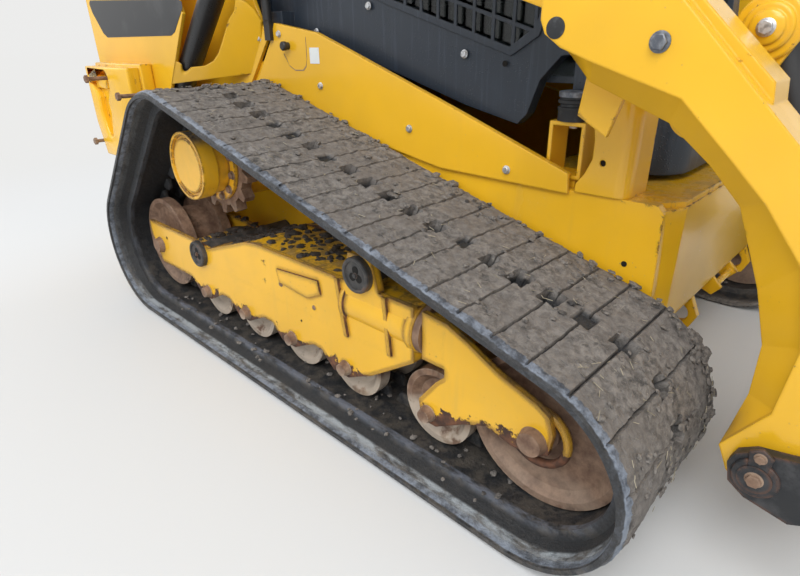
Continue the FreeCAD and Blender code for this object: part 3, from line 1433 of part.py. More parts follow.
rear_fixed = []
rear_moving = []
for height in (700, 1180):
    foot = Vector(rear_axis_x.number, rear_axis_y.number, height)
    y0 = D.tower_inner.number
    still_leaf = block(
        (rear_axis_x.number, rear_axis_y.number - 3, height),
        (D.tower_rear_x.number, rear_axis_y.number + 5, height + 50),
    )
    turning_leaf = block(
        (rear_axis_x.number - 4, y0 - 9, height + 52), (rear_axis_x.number + 4, rear_axis_y.number, height + 98)
    )
    still, turning = knuckles("rear_hinge", foot, Vector(0, 0, 1), 100, still_leaf, turning_leaf)
    rear_fixed.append(still)
    rear_moving.append(turning)
keep(fuse("rear_door", [rear_grille, solid("rear_knuckles", Part.makeCompound(rear_moving))]))
keep(solid("fixed_hinges", Part.makeCompound(hood_fixed + door_fixed + rear_fixed)))

# Lamps on the roof front and on the towers' rear
lamp = rod("roof_lamp", "X", (-395, D.cab_roof_z - 38.3), 38, D.cab_brow_x + 8.3, D.cab_brow_x + 60)
keep(both("roof_lamps", [lamp]))
tail = box("tail_lamp", (D.tower_rear_x - 24, D.tower_rear_x), (-690, -610), (960, 1120))
keep(both("tail_lamps", [tail]))

# Lift arm: boom between the tower plates, deeper front box with a folded lower flange, and the foot
arm_skin_outline = [
    (814, 1150),
    (814, 989),
    (824, 967),
    (856, 945),
    (912, 924),
    (1067, 873),
    (1150, 794),
    (1212, 733),
    (1276, 650),
    (1306, 520),
    (1296, 400),
    (1238, 306),
    (1258, 262),
    (1300, 222),
    (1350, 230),
    (1368, 262),
    (1370, 380),
    (1420, 470),
    (1428, 600),
    (1400, 670),
    (1236, 818),
    (1120, 935),
    (1048, 1008),
    (990, 1060),
    (900, 1118),
]
arm_core_outline = [
    (812, 1150),
    (812, 1000),
    (828, 962),
    (850, 928),
    (888, 888),
    (1036, 829),
    (1112, 768),
    (1168, 710),
    (1222, 580),
    (1250, 486),
    (1252, 389),
] + arm_skin_outline[11:]
coupler_hole = (D.coupler_pivot_x, D.coupler_pivot_z, D.coupler_pin_radius + D.pin_gap)
arm_skin = plate("arm_skin", "XZ", arm_skin_outline, (-D.arm_outer, -D.arm_skin), holes=[coupler_hole])
arm_core = plate("arm_core", "XZ", arm_core_outline, (-D.arm_fold, -D.foot_inner), holes=[coupler_hole])
fold_wires = [
    Part.makePolygon([Vector(x, y, z) for x, z in outline + outline[:1]])
    for y, outline in ((-D.arm_skin.number, arm_skin_outline), (-D.arm_fold.number, arm_core_outline))
]
fold_solid = Part.makeLoft(fold_wires, True, True)
fold_bore = Part.makeCylinder(
    coupler_hole[2].number, 200,
    Vector(D.coupler_pivot_x.number, -800, D.coupler_pivot_z.number), Vector(0, 1, 0),
)
arm_fold = solid("arm_fold", fold_solid.cut(fold_bore))
boom = plate("arm_boom", "XZ", [
    (D.arm_pivot_x - 85, D.arm_pivot_z - 55),
    (D.arm_pivot_x + 10, D.arm_pivot_z - 100),
    (-700, 1456),
    (-60, 1432),
    (300, 1240),
    (726, 1026),
    (800, 1001),
    (960, 920),
    (960, 1034),
    (760, 1195),
    (300, 1420),
    (-300, 1590),
    (D.arm_pivot_x + 30, D.arm_pivot_z + 104),
    (D.arm_pivot_x - 85, D.arm_pivot_z + 60),
], (-D.boom_outer, -D.boom_inner))
ridge = plate("arm_ridge", "XZ", [
    (640, 1235),
    (1080, 880),
    (1186, 862),
    (1181, 900),
    (1062, 1014),
    (1000, 1072),
    (900, 1140),
    (735, 1236),
    (640, 1284),
], (-735, -D.foot_inner))
eye_lug_outline = [
    (D.lift_end_x - 56, 1480),
    (D.lift_end_x - 44, D.lift_end_z - 40),
    (D.lift_end_x + 44, D.lift_end_z - 40),
    (D.lift_end_x + 56, 1480),
]
eye_lugs = [
    plate("eye_lug_out", "XZ", eye_lug_outline, (-D.boom_outer - 4, -D.boom_outer + 6)),
    plate("eye_lug_in", "XZ", eye_lug_outline, (-D.boom_inner - 2, -D.boom_inner + 10)),
]
rest_pad = plate("arm_rest_pad", "XZ", [
    (851, 823),
    (866, 932),
    (950, 900),
    (913, 787),
], (-D.foot_inner - 12, -D.foot_inner))
arm_pin = rod("arm_pin", "Y", (D.arm_pivot_x, D.arm_pivot_z), D.pivot_radius, -D.tower_outer - 12, -D.tower_inner)
arm_pieces = [arm_skin, arm_core, arm_fold, boom, ridge, arm_pin, rest_pad] + eye_lugs
keep_pair(fuse("lift_arm_right", arm_pieces), "lift_arm_left")

# Cross tube with the tilt cylinders' upper brackets
tube = rod("cross_tube", "Y", (D.cross_x, D.cross_z), D.cross_radius, -D.foot_inner, D.foot_inner)
tilt_ears = []
for name, shift in (("in", 46), ("out", -58)):
    tilt_ears.append(plate(f"tilt_ear_{name}", "XZ", [
        (D.cross_x - 40, D.cross_z),
        (D.cross_x + 40, D.cross_z - 20),
        (D.tilt_top_x + 48, D.tilt_top_z - 16),
        (D.tilt_top_x + 44, D.tilt_top_z + 26),
        (D.tilt_top_x + 14, D.tilt_top_z + 48),
        (D.tilt_top_x - 28, D.tilt_top_z + 42),
        (D.tilt_top_x - 54, D.tilt_top_z),
    ], (-D.tilt_y + shift, -D.tilt_y + shift + 12), holes=[(D.tilt_top_x, D.tilt_top_z, 24 + D.pin_gap)]))
cross = [tube] + tilt_ears + [mirrored(f"{ear.Label}_left", ear) for ear in tilt_ears]
keep(fuse("arm_cross_tube", cross))


def ram(name, base, end, y, sizes):
    """Barrel with its lower pin, and rod with its eye, along the line from base to end."""
    dx, dz = end[0].number - base[0].number, end[1].number - base[1].number
    length = math.hypot(dx, dz)
    way = Vector(dx / length, 0, dz / length)
    start = Vector(base[0].number, -y.number, base[1].number)
    tip = start + way * length
    across_y = Vector(0, 1, 0)
    barrel = Part.makeCylinder(sizes["barrel"], sizes["reach"] - 30, start + way * 30, way)
    barrel = barrel.fuse([
        Part.makeCylinder(sizes["eye"], sizes["eye_width"], start - across_y * (sizes["eye_width"] / 2), across_y),
        Part.makeCylinder(sizes["pin"], sizes["pin_length"], start - across_y * (sizes["pin_length"] / 2), across_y),
    ])
    bore = Part.makeCylinder(sizes["rod"] + D.bore_gap.number, sizes["reach"], start + way * sizes["blind"], way)
    stem = Part.makeCylinder(sizes["rod"], length - sizes["tail"], start + way * sizes["tail"], way)
    knuckle = Part.makeCylinder(sizes["eye"], sizes["eye_width"], tip - across_y * (sizes["eye_width"] / 2), across_y)
    return (
        solid(f"{name}_barrel", barrel.cut(bore).removeSplitter()),
        solid(f"{name}_rod", stem.fuse(knuckle).removeSplitter()),
    )


lift_barrel, lift_rod = ram(
    "lift", (D.lift_base_x, D.lift_base_z), (D.lift_end_x, D.lift_end_z), D.lift_y, {
        "barrel": D.lift_barrel_radius.number, "reach": D.lift_barrel_length.number,
        "rod": D.lift_rod_radius.number, "eye": 42, "eye_width": 60, "pin": 25, "pin_length": 99,
        "blind": 80, "tail": 100,
    },
)
keep(both("lift_barrels", [lift_barrel]))
keep(both("lift_rods", [lift_rod]))
tilt_barrel, tilt_rod = ram(
    "tilt", (D.tilt_top_x, D.tilt_top_z), (D.tilt_end_x, D.tilt_end_z), D.tilt_y, {
        "barrel": D.tilt_barrel_radius.number, "reach": D.tilt_barrel_length.number,
        "rod": D.tilt_rod_radius.number, "eye": 36, "eye_width": 56, "pin": 24, "pin_length": 116,
        "blind": 44, "tail": 128,
    },
)
keep(both("tilt_barrels", [tilt_barrel]))
keep(both("tilt_rods", [tilt_rod]))

# Quick coupler: a plate with a top hook and bottom lip, hung on ears either side of each foot
coupler_plate = plate("coupler_plate", "XZ", [
    (D.coupler_face_x - 26, D.coupler_low + 60),
    (D.coupler_face_x, D.coupler_low),
    (D.coupler_face_x, D.coupler_low + 60),
    (D.coupler_face_x - 6, D.coupler_top - 30),
    (D.coupler_face_x - 40, D.coupler_top),
    (D.coupler_face_x - 52, D.coupler_top - 14),
    (D.coupler_face_x - 24, D.coupler_top - 44),
], (-D.coupler_half, D.coupler_half))


def off_pin(points):
    """Places given from the coupler pin."""
    return [(D.coupler_pivot_x + x, D.coupler_pivot_z + z) for x, z in points]


ear_outline = off_pin([
    (-44, 8), (-36, -28), (-8, -48), (60, -62), (112, -34), (168, -30),
    (190, -14), (192, 60), (170, 80), (60, 62), (-10, 48), (-36, 30),
])
ears = [
    plate("ear_out", "XZ", ear_outline, (-D.ear_outer, -D.ear_outer + D.ear_plate)),
    plate("ear_in", "XZ", ear_outline, (-D.foot_inner + D.ear_gap, -D.foot_inner + D.ear_gap + D.ear_plate)),
]
spine = plate("coupler_spine", "XZ", off_pin([(150, -14), (192, -14), (192, 60), (150, 60)]), (-D.ear_outer, D.ear_outer))
pin = rod(
    "coupler_pin", "Y", (D.coupler_pivot_x, D.coupler_pivot_z), D.coupler_pin_radius,
    -D.ear_outer - 8, -D.foot_inner + D.ear_gap + D.ear_plate,
)
rod_ears = []
for name, shift in (("in", 34), ("out", -50)):
    rod_ears.append(plate(f"rod_ear_{name}", "XZ", [
        (D.tilt_end_x - 34, D.tilt_end_z - 30),
        (D.coupler_face_x - 20, D.coupler_low + 180),
        (D.coupler_face_x - 18, D.coupler_top - 60),
        (D.tilt_end_x + 30, D.tilt_end_z + 36),
        (D.tilt_end_x - 20, D.tilt_end_z + 36),
    ], (-D.tilt_y + shift, -D.tilt_y + shift + 16)))
coupler_right = ears + [pin] + rod_ears
coupler_left = [mirrored(f"{piece.Label}_left", piece) for piece in coupler_right]
keep(fuse("coupler", [coupler_plate, spine] + coupler_right + coupler_left))

doc.recompute()

# Every feature has to be whole before anything is written
for thing in doc.Objects:
    if "Invalid" in thing.State or "Error" in thing.State:
        raise RuntimeError(f"{thing.Label}: {thing.State}")
for piece in NODES:
    if piece.Shape.isNull() or not piece.Shape.isValid() or not piece.Shape.Solids:
        raise RuntimeError(f"{piece.Label}: bad shape")

os.makedirs("parts", exist_ok=True)
for piece in NODES:
    piece.Shape.exportStep(f"parts/{piece.Label}.step")
    print(piece.Label, len(piece.Shape.Solids), round(piece.Shape.Volume / 1e6, 3))
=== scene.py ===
import math
import random
import bpy
from mathutils import Matrix, Vector


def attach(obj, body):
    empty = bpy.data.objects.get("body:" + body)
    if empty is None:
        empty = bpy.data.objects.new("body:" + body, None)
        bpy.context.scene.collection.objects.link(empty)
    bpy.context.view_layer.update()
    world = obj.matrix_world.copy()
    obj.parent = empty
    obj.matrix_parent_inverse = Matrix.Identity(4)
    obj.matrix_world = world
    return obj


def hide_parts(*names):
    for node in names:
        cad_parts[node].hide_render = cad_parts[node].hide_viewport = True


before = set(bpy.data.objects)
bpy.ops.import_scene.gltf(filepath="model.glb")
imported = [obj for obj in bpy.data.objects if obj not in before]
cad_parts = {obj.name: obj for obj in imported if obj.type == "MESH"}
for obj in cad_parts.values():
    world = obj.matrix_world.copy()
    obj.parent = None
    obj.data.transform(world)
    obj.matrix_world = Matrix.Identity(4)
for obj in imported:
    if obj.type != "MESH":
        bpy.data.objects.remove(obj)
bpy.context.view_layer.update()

# Camera beside the right-hand track, low over the front corner, and a pale studio round the machine.
# A wide lens stands 1.3 m from the track and looks down and back along it.
camera = bpy.data.objects.new("camera", bpy.data.cameras.new("camera"))
bpy.context.scene.collection.objects.link(camera)
bpy.context.scene.camera = camera
sensor, focal_pixels, picture_pixels = 36, 545.1, 800
camera.data.sensor_width = sensor
camera.data.lens = focal_pixels / picture_pixels * sensor
camera.data.clip_start = 0.05
camera.data.clip_end = 200
heading, dip, lean = math.radians(133.98), math.radians(24.61), math.radians(-0.96)
gaze = Vector((math.cos(dip) * math.cos(heading), math.cos(dip) * math.sin(heading), -math.sin(dip)))
level = Vector((math.sin(heading), -math.cos(heading), 0))
aloft = level.cross(gaze)
across = math.cos(lean) * level + math.sin(lean) * aloft
upright = math.cos(lean) * aloft - math.sin(lean) * level
aim = Matrix((across, upright, -gaze)).transposed().to_4x4()
camera.matrix_world = Matrix.Translation((1.3615, -1.689, 0.964)) @ aim

scene = bpy.context.scene
scene.view_settings.view_transform = "Standard"
bpy.ops.object.select_all(action="DESELECT")
bpy.ops.mesh.primitive_plane_add(size=120, location=(0, 0, 0))
floor = bpy.context.object
floor.name = "studio_floor"
floor_finish = bpy.data.materials.new("studio_floor")
floor_finish.use_nodes = True
floor.data.materials.append(floor_finish)


def wire(tree, *pairs):
    """Links output sockets to input sockets."""
    for source, target in pairs:
        tree.links.new(source, target)


def maths(tree, operation):
    """Adds one maths node."""
    made = tree.nodes.new("ShaderNodeMath")
    made.operation = operation
    return made


# The floor fades into the backdrop's tone between these two distances.
fade_near, fade_far = 1.6, 5.0
ground = floor_finish.node_tree
matt = ground.nodes["Principled BSDF"]
matt.inputs["Base Color"].default_value = (0.66, 0.66, 0.65, 1)
matt.inputs["Roughness"].default_value = 0.9
glow = ground.nodes.new("ShaderNodeEmission")
glow.inputs["Color"].default_value = (0.84, 0.84, 0.83, 1)
sight = ground.nodes.new("ShaderNodeLightPath")
spot = ground.nodes.new("ShaderNodeTexCoord")
reach = ground.nodes.new("ShaderNodeVectorMath")
reach.operation = "LENGTH"
fade = ground.nodes.new("ShaderNodeMapRange")
fade.interpolation_type = "SMOOTHSTEP"
fade.inputs["From Min"].default_value = fade_near
fade.inputs["From Max"].default_value = fade_far
share = maths(ground, "MULTIPLY")
mix = ground.nodes.new("ShaderNodeMixShader")
wire(
    ground,
    (spot.outputs["Object"], reach.inputs[0]),
    (reach.outputs["Value"], fade.inputs["Value"]),
    (fade.outputs["Result"], share.inputs[0]),
    (sight.outputs["Is Camera Ray"], share.inputs[1]),
    (share.outputs[0], mix.inputs["Fac"]),
    (matt.outputs[0], mix.inputs[1]),
    (glow.outputs[0], mix.inputs[2]),
    (mix.outputs[0], ground.nodes["Material Output"].inputs["Surface"]),
)

world = bpy.data.worlds.new("studio")
scene.world = world
world.use_nodes = True
air = world.node_tree
backdrop = air.nodes["Background"]
backdrop.inputs["Strength"].default_value = 0.72
ray = air.nodes.new("ShaderNodeLightPath")
seen, through = maths(air, "ADD"), maths(air, "ADD")
tone = air.nodes.new("ShaderNodeMix")
tone.data_type = "RGBA"
tone.inputs[6].default_value = (0.88, 0.93, 1.0, 1)
tone.inputs[7].default_value = (1.17, 1.17, 1.16, 1)
wire(
    air,
    (ray.outputs["Is Camera Ray"], seen.inputs[0]),
    (ray.outputs["Is Glossy Ray"], seen.inputs[1]),
    (seen.outputs[0], through.inputs[0]),
    (ray.outputs["Is Transmission Ray"], through.inputs[1]),
    (through.outputs[0], tone.inputs["Factor"]),
    (tone.outputs[2], backdrop.inputs["Color"]),
)
for name, place, turn, size, power in (
    ("key", (3.0, -5.0, 6.0), (42, 0, 32), 5.0, 460),
    ("fill", (-5.0, -3.0, 4.0), (50, 0, -60), 5.0, 110),
    ("back", (-2.0, 6.0, 5.0), (-50, 0, 15), 5.0, 160),
):
    lamp = bpy.data.objects.new(name, bpy.data.lights.new(name, "AREA"))
    lamp.data.size = size
    lamp.data.energy = power
    lamp.location = place
    lamp.rotation_euler = [math.radians(a) for a in turn]
    scene.collection.objects.link(lamp)


# Chassis: welded steel tub with its nose and belly, in glossy yellow enamel.
# Paint is chipped to rust along its edges, dusty on top and splashed with mud low down.
class Amount:
    """A number that varies over a surface. Sums and products of it become maths nodes."""

    def __init__(self, finish, socket):
        self.finish = finish
        self.socket = socket

    def reckon(self, operation, first, second):
        made = self.finish.node("ShaderNodeMath", {"operation": operation}, {0: first, 1: second})
        return Amount(self.finish, made.outputs[0])

    def __add__(self, other):
        return self.reckon("ADD", self, other)

    def __radd__(self, other):
        return self.reckon("ADD", other, self)

    def __sub__(self, other):
        return self.reckon("SUBTRACT", self, other)

    def __rsub__(self, other):
        return self.reckon("SUBTRACT", other, self)

    def __mul__(self, other):
        return self.reckon("MULTIPLY", self, other)

    def __rmul__(self, other):
        return self.reckon("MULTIPLY", other, self)

    def most(self, other):
        return self.reckon("MAXIMUM", self, other)

    def rise(self, low, high):
        """Smooth step from 0 at low to 1 at high; low above high gives a fall."""
        values = {"Value": self, "From Min": low, "From Max": high}
        made = self.finish.node("ShaderNodeMapRange", {"interpolation_type": "SMOOTHSTEP"}, values)
        return Amount(self.finish, made.outputs["Result"])


class Finish:
    """One surface finish, mixed from nodes on a plain shader."""

    def __init__(self, name, rough=0.5, metal=0.0, coat=0.0):
        self.material = bpy.data.materials.new(name)
        self.material.use_nodes = True
        self.tree = self.material.node_tree
        self.shader = self.tree.nodes["Principled BSDF"]
        self.feed(self.shader.inputs["Roughness"], rough)
        self.feed(self.shader.inputs["Metallic"], metal)
        self.feed(self.shader.inputs["Coat Weight"], coat)
        self.place = self.node("ShaderNodeTexCoord", {}, {}).outputs["Object"]
        parts = self.node("ShaderNodeSeparateXYZ", {}, {0: self.place}).outputs
        self.x, self.y, self.z = [Amount(self, part) for part in parts]

    def feed(self, socket, value):
        if isinstance(value, Amount):
            value = value.socket
        if isinstance(value, bpy.types.NodeSocket):
            self.tree.links.new(value, socket)
        elif isinstance(value, tuple) and socket.type == "RGBA":
            socket.default_value = (*value[:3], 1)
        else:
            socket.default_value = value

    def node(self, kind, settings, values):
        made = self.tree.nodes.new(kind)
        for key, value in settings.items():
            setattr(made, key, value)
        for key, value in values.items():
            self.feed(made.inputs[key], value)
        return made

    def noise(self, scale, detail=4.0, rough=0.6, warp=0.0, stretch=None, turn=(0, 0, 0)):
        """Cloudy pattern; stretch squeezes it along an axis, turn sets it askew."""
        where = self.place
        if stretch:
            values = {"Vector": where, "Scale": stretch, "Rotation": turn}
            where = self.node("ShaderNodeMapping", {}, values).outputs[0]
        made = self.node("ShaderNodeTexNoise", {}, {
            "Vector": where, "Scale": scale, "Detail": detail, "Roughness": rough, "Distortion": warp,
        })
        return Amount(self, made.outputs["Fac"])

    def cells(self, scale, random=1.0):
        """Distance from the middle of the nearest of many small cells."""
        values = {"Vector": self.place, "Scale": scale, "Randomness": random}
        return Amount(self, self.node("ShaderNodeTexVoronoi", {}, values).outputs["Distance"])

    def edges(self, reach):
        """1 near a sharp edge of the piece, 0 on its faces."""
        soft = self.rounded(reach)
        true = self.node("ShaderNodeNewGeometry", {}, {}).outputs["Normal"]
        made = self.node("ShaderNodeVectorMath", {"operation": "DOT_PRODUCT"}, {0: soft, 1: true})
        return 1 - Amount(self, made.outputs["Value"])

    def upward(self):
        """1 on faces that look up, 0 on walls, below 0 underneath."""
        normal = self.node("ShaderNodeNewGeometry", {}, {}).outputs["Normal"]
        return Amount(self, self.node("ShaderNodeSeparateXYZ", {}, {0: normal}).outputs[2])

    def over(self, below, above, mask):
        """Colour above laid on colour below where mask is 1."""
        made = self.node("ShaderNodeMix", {"data_type": "RGBA"}, {"Factor": mask})
        self.feed(made.inputs[6], below)
        self.feed(made.inputs[7], above)
        return made.outputs[2]

    def relief(self, height, depth, base=None):
        """Adds a bump of that depth, on top of an earlier one."""
        values = {"Height": height, "Distance": depth, "Strength": 1.0}
        if base:
            values["Normal"] = base
        return self.node("ShaderNodeBump", {}, values).outputs[0]

    def rounded(self, radius):
        """Normal that rounds the piece's sharp edges to that radius."""
        return self.node("ShaderNodeBevel", {"samples": 4}, {"Radius": radius}).outputs[0]

    def done(self, colour, rough=None, metal=None, normal=None):
        fed = (("Base Color", colour), ("Roughness", rough), ("Metallic", metal), ("Normal", normal))
        for name, value in fed:
            if value is not None:
                self.feed(self.shader.inputs[name], value)
        return self.material


rust_dark = (0.045, 0.02, 0.012)
rust_bright = (0.16, 0.062, 0.028)


def enamel(name, paint, chips, grime, splash_top, gloss=0.24, low_rust=0.0):
    """Weathered enamel: chips to rust on edges, a film of grime, and mud below splash_top.

    low_rust 1 adds a ragged skirt of rust along the low rims of the track frames.
    """
    f = Finish(name, coat=0.12)
    cloud = f.noise(2.2, 3)
    fine = f.noise(38, 5, 0.65)
    tint = f.over(paint, tuple(c * 0.86 for c in paint), cloud.rise(0.35, 0.75))
    rust = f.over(rust_dark, rust_bright, fine.rise(0.35, 0.7))
    torn = f.noise(26, 7, 0.72)
    patch = f.noise(5.5, 4, 0.6)
    edge = f.edges(0.014 + 0.010 * low_rust)
    foot_rust = f.z.rise(0.30, 0.16) * (0.10 * low_rust)
    worn = edge.rise(0.0, 0.13) * (0.24 + 0.36 * chips) + torn * 0.9 + patch * 0.25 + foot_rust
    spots = f.noise(13, 8, 0.75) + patch * 0.35 + foot_rust * 0.4
    spots = spots.rise(0.93 - chips * 0.05, 0.945 - chips * 0.05)
    bare = worn.rise(0.98 - chips * 0.10, 1.0 - chips * 0.10).most(spots)
    skirt = (f.z + torn * 0.16 + fine * 0.04 - f.x.rise(0.60, 1.0) * 0.066).rise(0.265, 0.259)
    bare = bare.most(skirt * low_rust)
    film = f.noise(5, 6, 0.7, 0.6)
    streak = f.noise(9, 4, 0.6, 0, (3.2, 3.2, 0.3))
    dusty = film.rise(0.45, 0.85) * (grime * 0.6) + streak.rise(0.55, 0.8) * (grime * 0.4)
    low_mud = f.noise(16, 7, 0.75, 0.4)
    splash = (f.z + low_mud * 0.5).rise(splash_top + 0.32, splash_top + 0.12) * low_mud.rise(0.5, 0.57)
    specks = f.cells(62).rise(0.13, 0.07) * f.noise(6, 2).rise(0.52, 0.66) * min(1.0, grime * 2.0)
    ledge = f.upward().rise(0.55, 0.9) * f.noise(14, 7, 0.75).rise(0.44, 0.58) * min(1.0, grime * 1.5)
    dirt = f.noise(60, 4, 0.7)
    soil = f.over((0.055, 0.042, 0.03), (0.22, 0.17, 0.12), dirt.rise(0.3, 0.7))
    colour = f.over(tint, (0.50, 0.33, 0.08), dusty)
    colour = f.over(colour, soil, (specks * 0.8).most(splash).most(ledge))
    colour = f.over(colour, rust, bare)
    rough = gloss + dusty * 0.3 + splash * 0.5 + bare * 0.5 + specks * 0.4 + ledge * 0.5
    height = bare * -0.5 + splash * 1.0 + specks * 0.5 + ledge * 1.2 + torn * 0.03
    bump = f.relief(height, 0.0016, f.rounded(0.006))
    return f.done(colour, rough, None, bump)


def wear(material, *nodes):
    for node in nodes:
        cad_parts[node].data.materials.clear()
        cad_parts[node].data.materials.append(material)


yellow = (0.92, 0.51, 0.018)
yellow_body = enamel("yellow_body", yellow, 0.25, 0.28, 0.22)
wear(yellow_body, "chassis", "tie_down_plates")

# Track frames: box beam between lobed side plates, with the sliding fork for the front wheels.
# Their enamel is scraped and chipped along every edge, and black mud lies on the beam.
yellow_frame = enamel("yellow_frame", (0.85, 0.465, 0.018), 0.95, 0.45, 0.0, 0.3, 1.0)
wear(yellow_frame, "track_frames", "front_forks")

# Rollers, idlers and axles: bare iron, rusty brown, polished by the track where they roll.
# The outer dishes carry dried mud with bright rings rubbed into it.
def bare_iron(name, polish):
    f = Finish(name)
    fine = f.noise(30, 6, 0.7)
    broad = f.noise(7, 4, 0.6, 0.5)
    colour = f.over((0.12, 0.064, 0.040), (0.27, 0.165, 0.105), fine.rise(0.3, 0.7))
    colour = f.over(colour, (0.46, 0.36, 0.26), broad.rise(0.50, 0.66) * polish)
    rolled = (f.z + broad * 0.06).rise(0.19, 0.15) * (f.noise(9, 4, 0.6) + fine * 0.3).rise(0.50, 0.60)
    colour = f.over(colour, (0.52, 0.44, 0.35), rolled * polish)
    colour = f.over(colour, (0.05, 0.032, 0.022), f.noise(13, 5, 0.7).rise(0.60, 0.75))
    rim = f.edges(0.008).rise(0.05, 0.4) * fine.rise(0.35, 0.6)
    colour = f.over(colour, (0.52, 0.45, 0.36), rim * polish)
    rough = 0.75 - broad.rise(0.5, 0.66) * (0.35 * polish)
    return f.done(colour, rough, (rim * (0.8 * polish)), f.relief(fine, 0.0015))


iron_wheels = bare_iron("rolled_iron", 0.8)
wear(iron_wheels, "track_rollers")
wear(bare_iron("idler_iron", 0.14), "idlers")
rusty_iron = bare_iron("rusty_iron", 0.25)
wear(rusty_iron, "sprockets")

# Final drives: planetary drums bolted through the sprockets, enamelled like the frame.
# The raised rim and the dished cap are scraped and dusted tan.
yellow_drum = enamel("yellow_drum", (0.82, 0.44, 0.02), 0.5, 0.7, 0.0, 0.3)
wear(yellow_drum, "final_drives")

# Rubber tracks: a belt with steel cores, broad flat bars outside and two rows of guide lugs inside.
# Mud fills the grooves between the bars down to a narrow dip; holes down the middle clear the sprocket's teeth.
# The dips and the holes show dark rubber as painted shade.
wheels = ((-0.690, 0.251, 0.251), (0.952, 0.231, 0.231), (-0.350, 0.600, 0.236))
bar_depth, belt_depth, pitch_count = 0.025, 0.030, 60
neutral = bar_depth + belt_depth * 0.6
track_edge, track_width = 0.541, 0.450
angles = []
for i in range(3):
    (x0, z0, r0), (x1, z1, r1) = wheels[i], wheels[(i + 1) % 3]
    taper = math.asin((r1 - r0) / math.hypot(x1 - x0, z1 - z0))
    angles.append(math.atan2(z1 - z0, x1 - x0) - math.pi / 2 - taper)
route = []
for i in range(3):
    (x0, z0, r0), (x1, z1, r1) = wheels[i], wheels[(i + 1) % 3]
    normal = Vector((math.cos(angles[i]), math.sin(angles[i])))
    start = Vector((x0, z0)) + normal * (r0 - neutral)
    end = Vector((x1, z1)) + normal * (r1 - neutral)
    steps = max(2, round((end - start).length / 0.05))
    route += [start.lerp(end, k / steps) for k in range(steps)]
    turn = (angles[(i + 1) % 3] - angles[i]) % (2 * math.pi)
    steps = round(turn / math.radians(4))
    for k in range(steps):
        swing = angles[i] + turn * k / steps
        route.append(Vector((x1, z1)) + Vector((math.cos(swing), math.sin(swing))) * (r1 - neutral))
route.reverse()
loop_length = sum((route[k] - route[k - 1]).length for k in range(len(route)))
pitch = loop_length / pitch_count

middle_u, middle_w = pitch / 2, track_edge + track_width / 2
bpy.ops.object.select_all(action="DESELECT")
bpy.ops.mesh.primitive_grid_add(
    x_subdivisions=14, y_subdivisions=44, size=1,
    rotation=(math.pi / 2, 0, 0), location=(middle_u, neutral, middle_w),
)
tread = bpy.context.object
tread.scale = (pitch, track_width, 1)
bpy.ops.object.transform_apply(location=True, rotation=True, scale=True)
for v in tread.data.vertices:
    u, w = v.co.x - middle_u, v.co.z - middle_w
    rim = track_width / 2 - abs(w)
    if rim < 0.012:
        v.co.y -= 0.010 if rim < 0.005 else 0.002
    if abs(u) < 0.001 and rim > 0.016:
        v.co.y -= 0.013
    elif abs(abs(u) - pitch / 14) < 0.001:
        v.co.x = middle_u + math.copysign(0.0032, u)
bpy.ops.object.mode_set(mode="EDIT")
bpy.ops.mesh.select_all(action="DESELECT")
bpy.ops.object.mode_set(mode="OBJECT")
for edge in tread.data.edges:
    ends = [tread.data.vertices[i].co for i in edge.vertices]
    edge.select = all(abs(abs(p.z - middle_w) - track_width / 2) < 1e-4 for p in ends)
bpy.ops.object.mode_set(mode="EDIT")
skirt_depth = bar_depth + belt_depth - 0.010
bpy.ops.mesh.extrude_region_move(TRANSFORM_OT_translate={"value": (0, -skirt_depth, 0)})
bpy.ops.mesh.bridge_edge_loops()
wing = ((0.0, 0.020), (0.040, 0.026), (0.066, 0.034), (0.072, 0.054), (0.086, 0.0555), (0.094, 0.051))
for reach, depth in wing[1:]:
    for line_w in (track_edge + reach, track_edge + track_width - reach):
        bpy.ops.mesh.select_all(action="SELECT")
        bpy.ops.mesh.bisect(plane_co=(0, 0, line_w), plane_no=(0, 0, 1))
bpy.ops.object.mode_set(mode="OBJECT")
for v in tread.data.vertices:
    rim = track_width / 2 - abs(v.co.z - middle_w)
    if v.co.y < neutral - 0.035:
        near = min(wing, key=lambda row: abs(row[0] - rim))
        v.co.y = neutral - (near[1] if rim < 0.1 else 0.055)
bpy.ops.object.mode_set(mode="EDIT")
bpy.ops.mesh.select_all(action="SELECT")
bpy.ops.mesh.normals_make_consistent(inside=False)
bpy.ops.object.mode_set(mode="OBJECT")

lug_middle = neutral - bar_depth - belt_depth - 0.015
for row in (0.735, 0.797):
    bpy.ops.object.select_all(action="DESELECT")
    bpy.ops.mesh.primitive_cube_add(size=1, location=(middle_u, lug_middle, row))
    lug = bpy.context.object
    lug.scale = (0.056, 0.034, 0.024)
    bpy.ops.object.transform_apply(location=True, rotation=True, scale=True)
    for v in lug.data.vertices:
        if v.co.y < lug_middle:
            v.co.x = middle_u + (v.co.x - middle_u) * 0.5
            v.co.z = row + (v.co.z - row) * 0.6
    bevel = lug.modifiers.new("round", "BEVEL")
    bevel.width = 0.005
    bevel.segments = 2
    bpy.ops.object.modifier_apply(modifier="round")
    lug.select_set(True)
    tread.select_set(True)
    bpy.context.view_layer.objects.active = tread
    bpy.ops.object.join()
tread.name = tread.data.name = "track_belt_right"
repeat = tread.modifiers.new("pitches", "ARRAY")
repeat.count = pitch_count
repeat.use_relative_offset = False
repeat.use_constant_offset = True
repeat.constant_offset_displace = (pitch, 0, 0)
repeat.use_merge_vertices = True
repeat.merge_threshold = 0.0005
bpy.ops.object.modifier_apply(modifier="pitches")

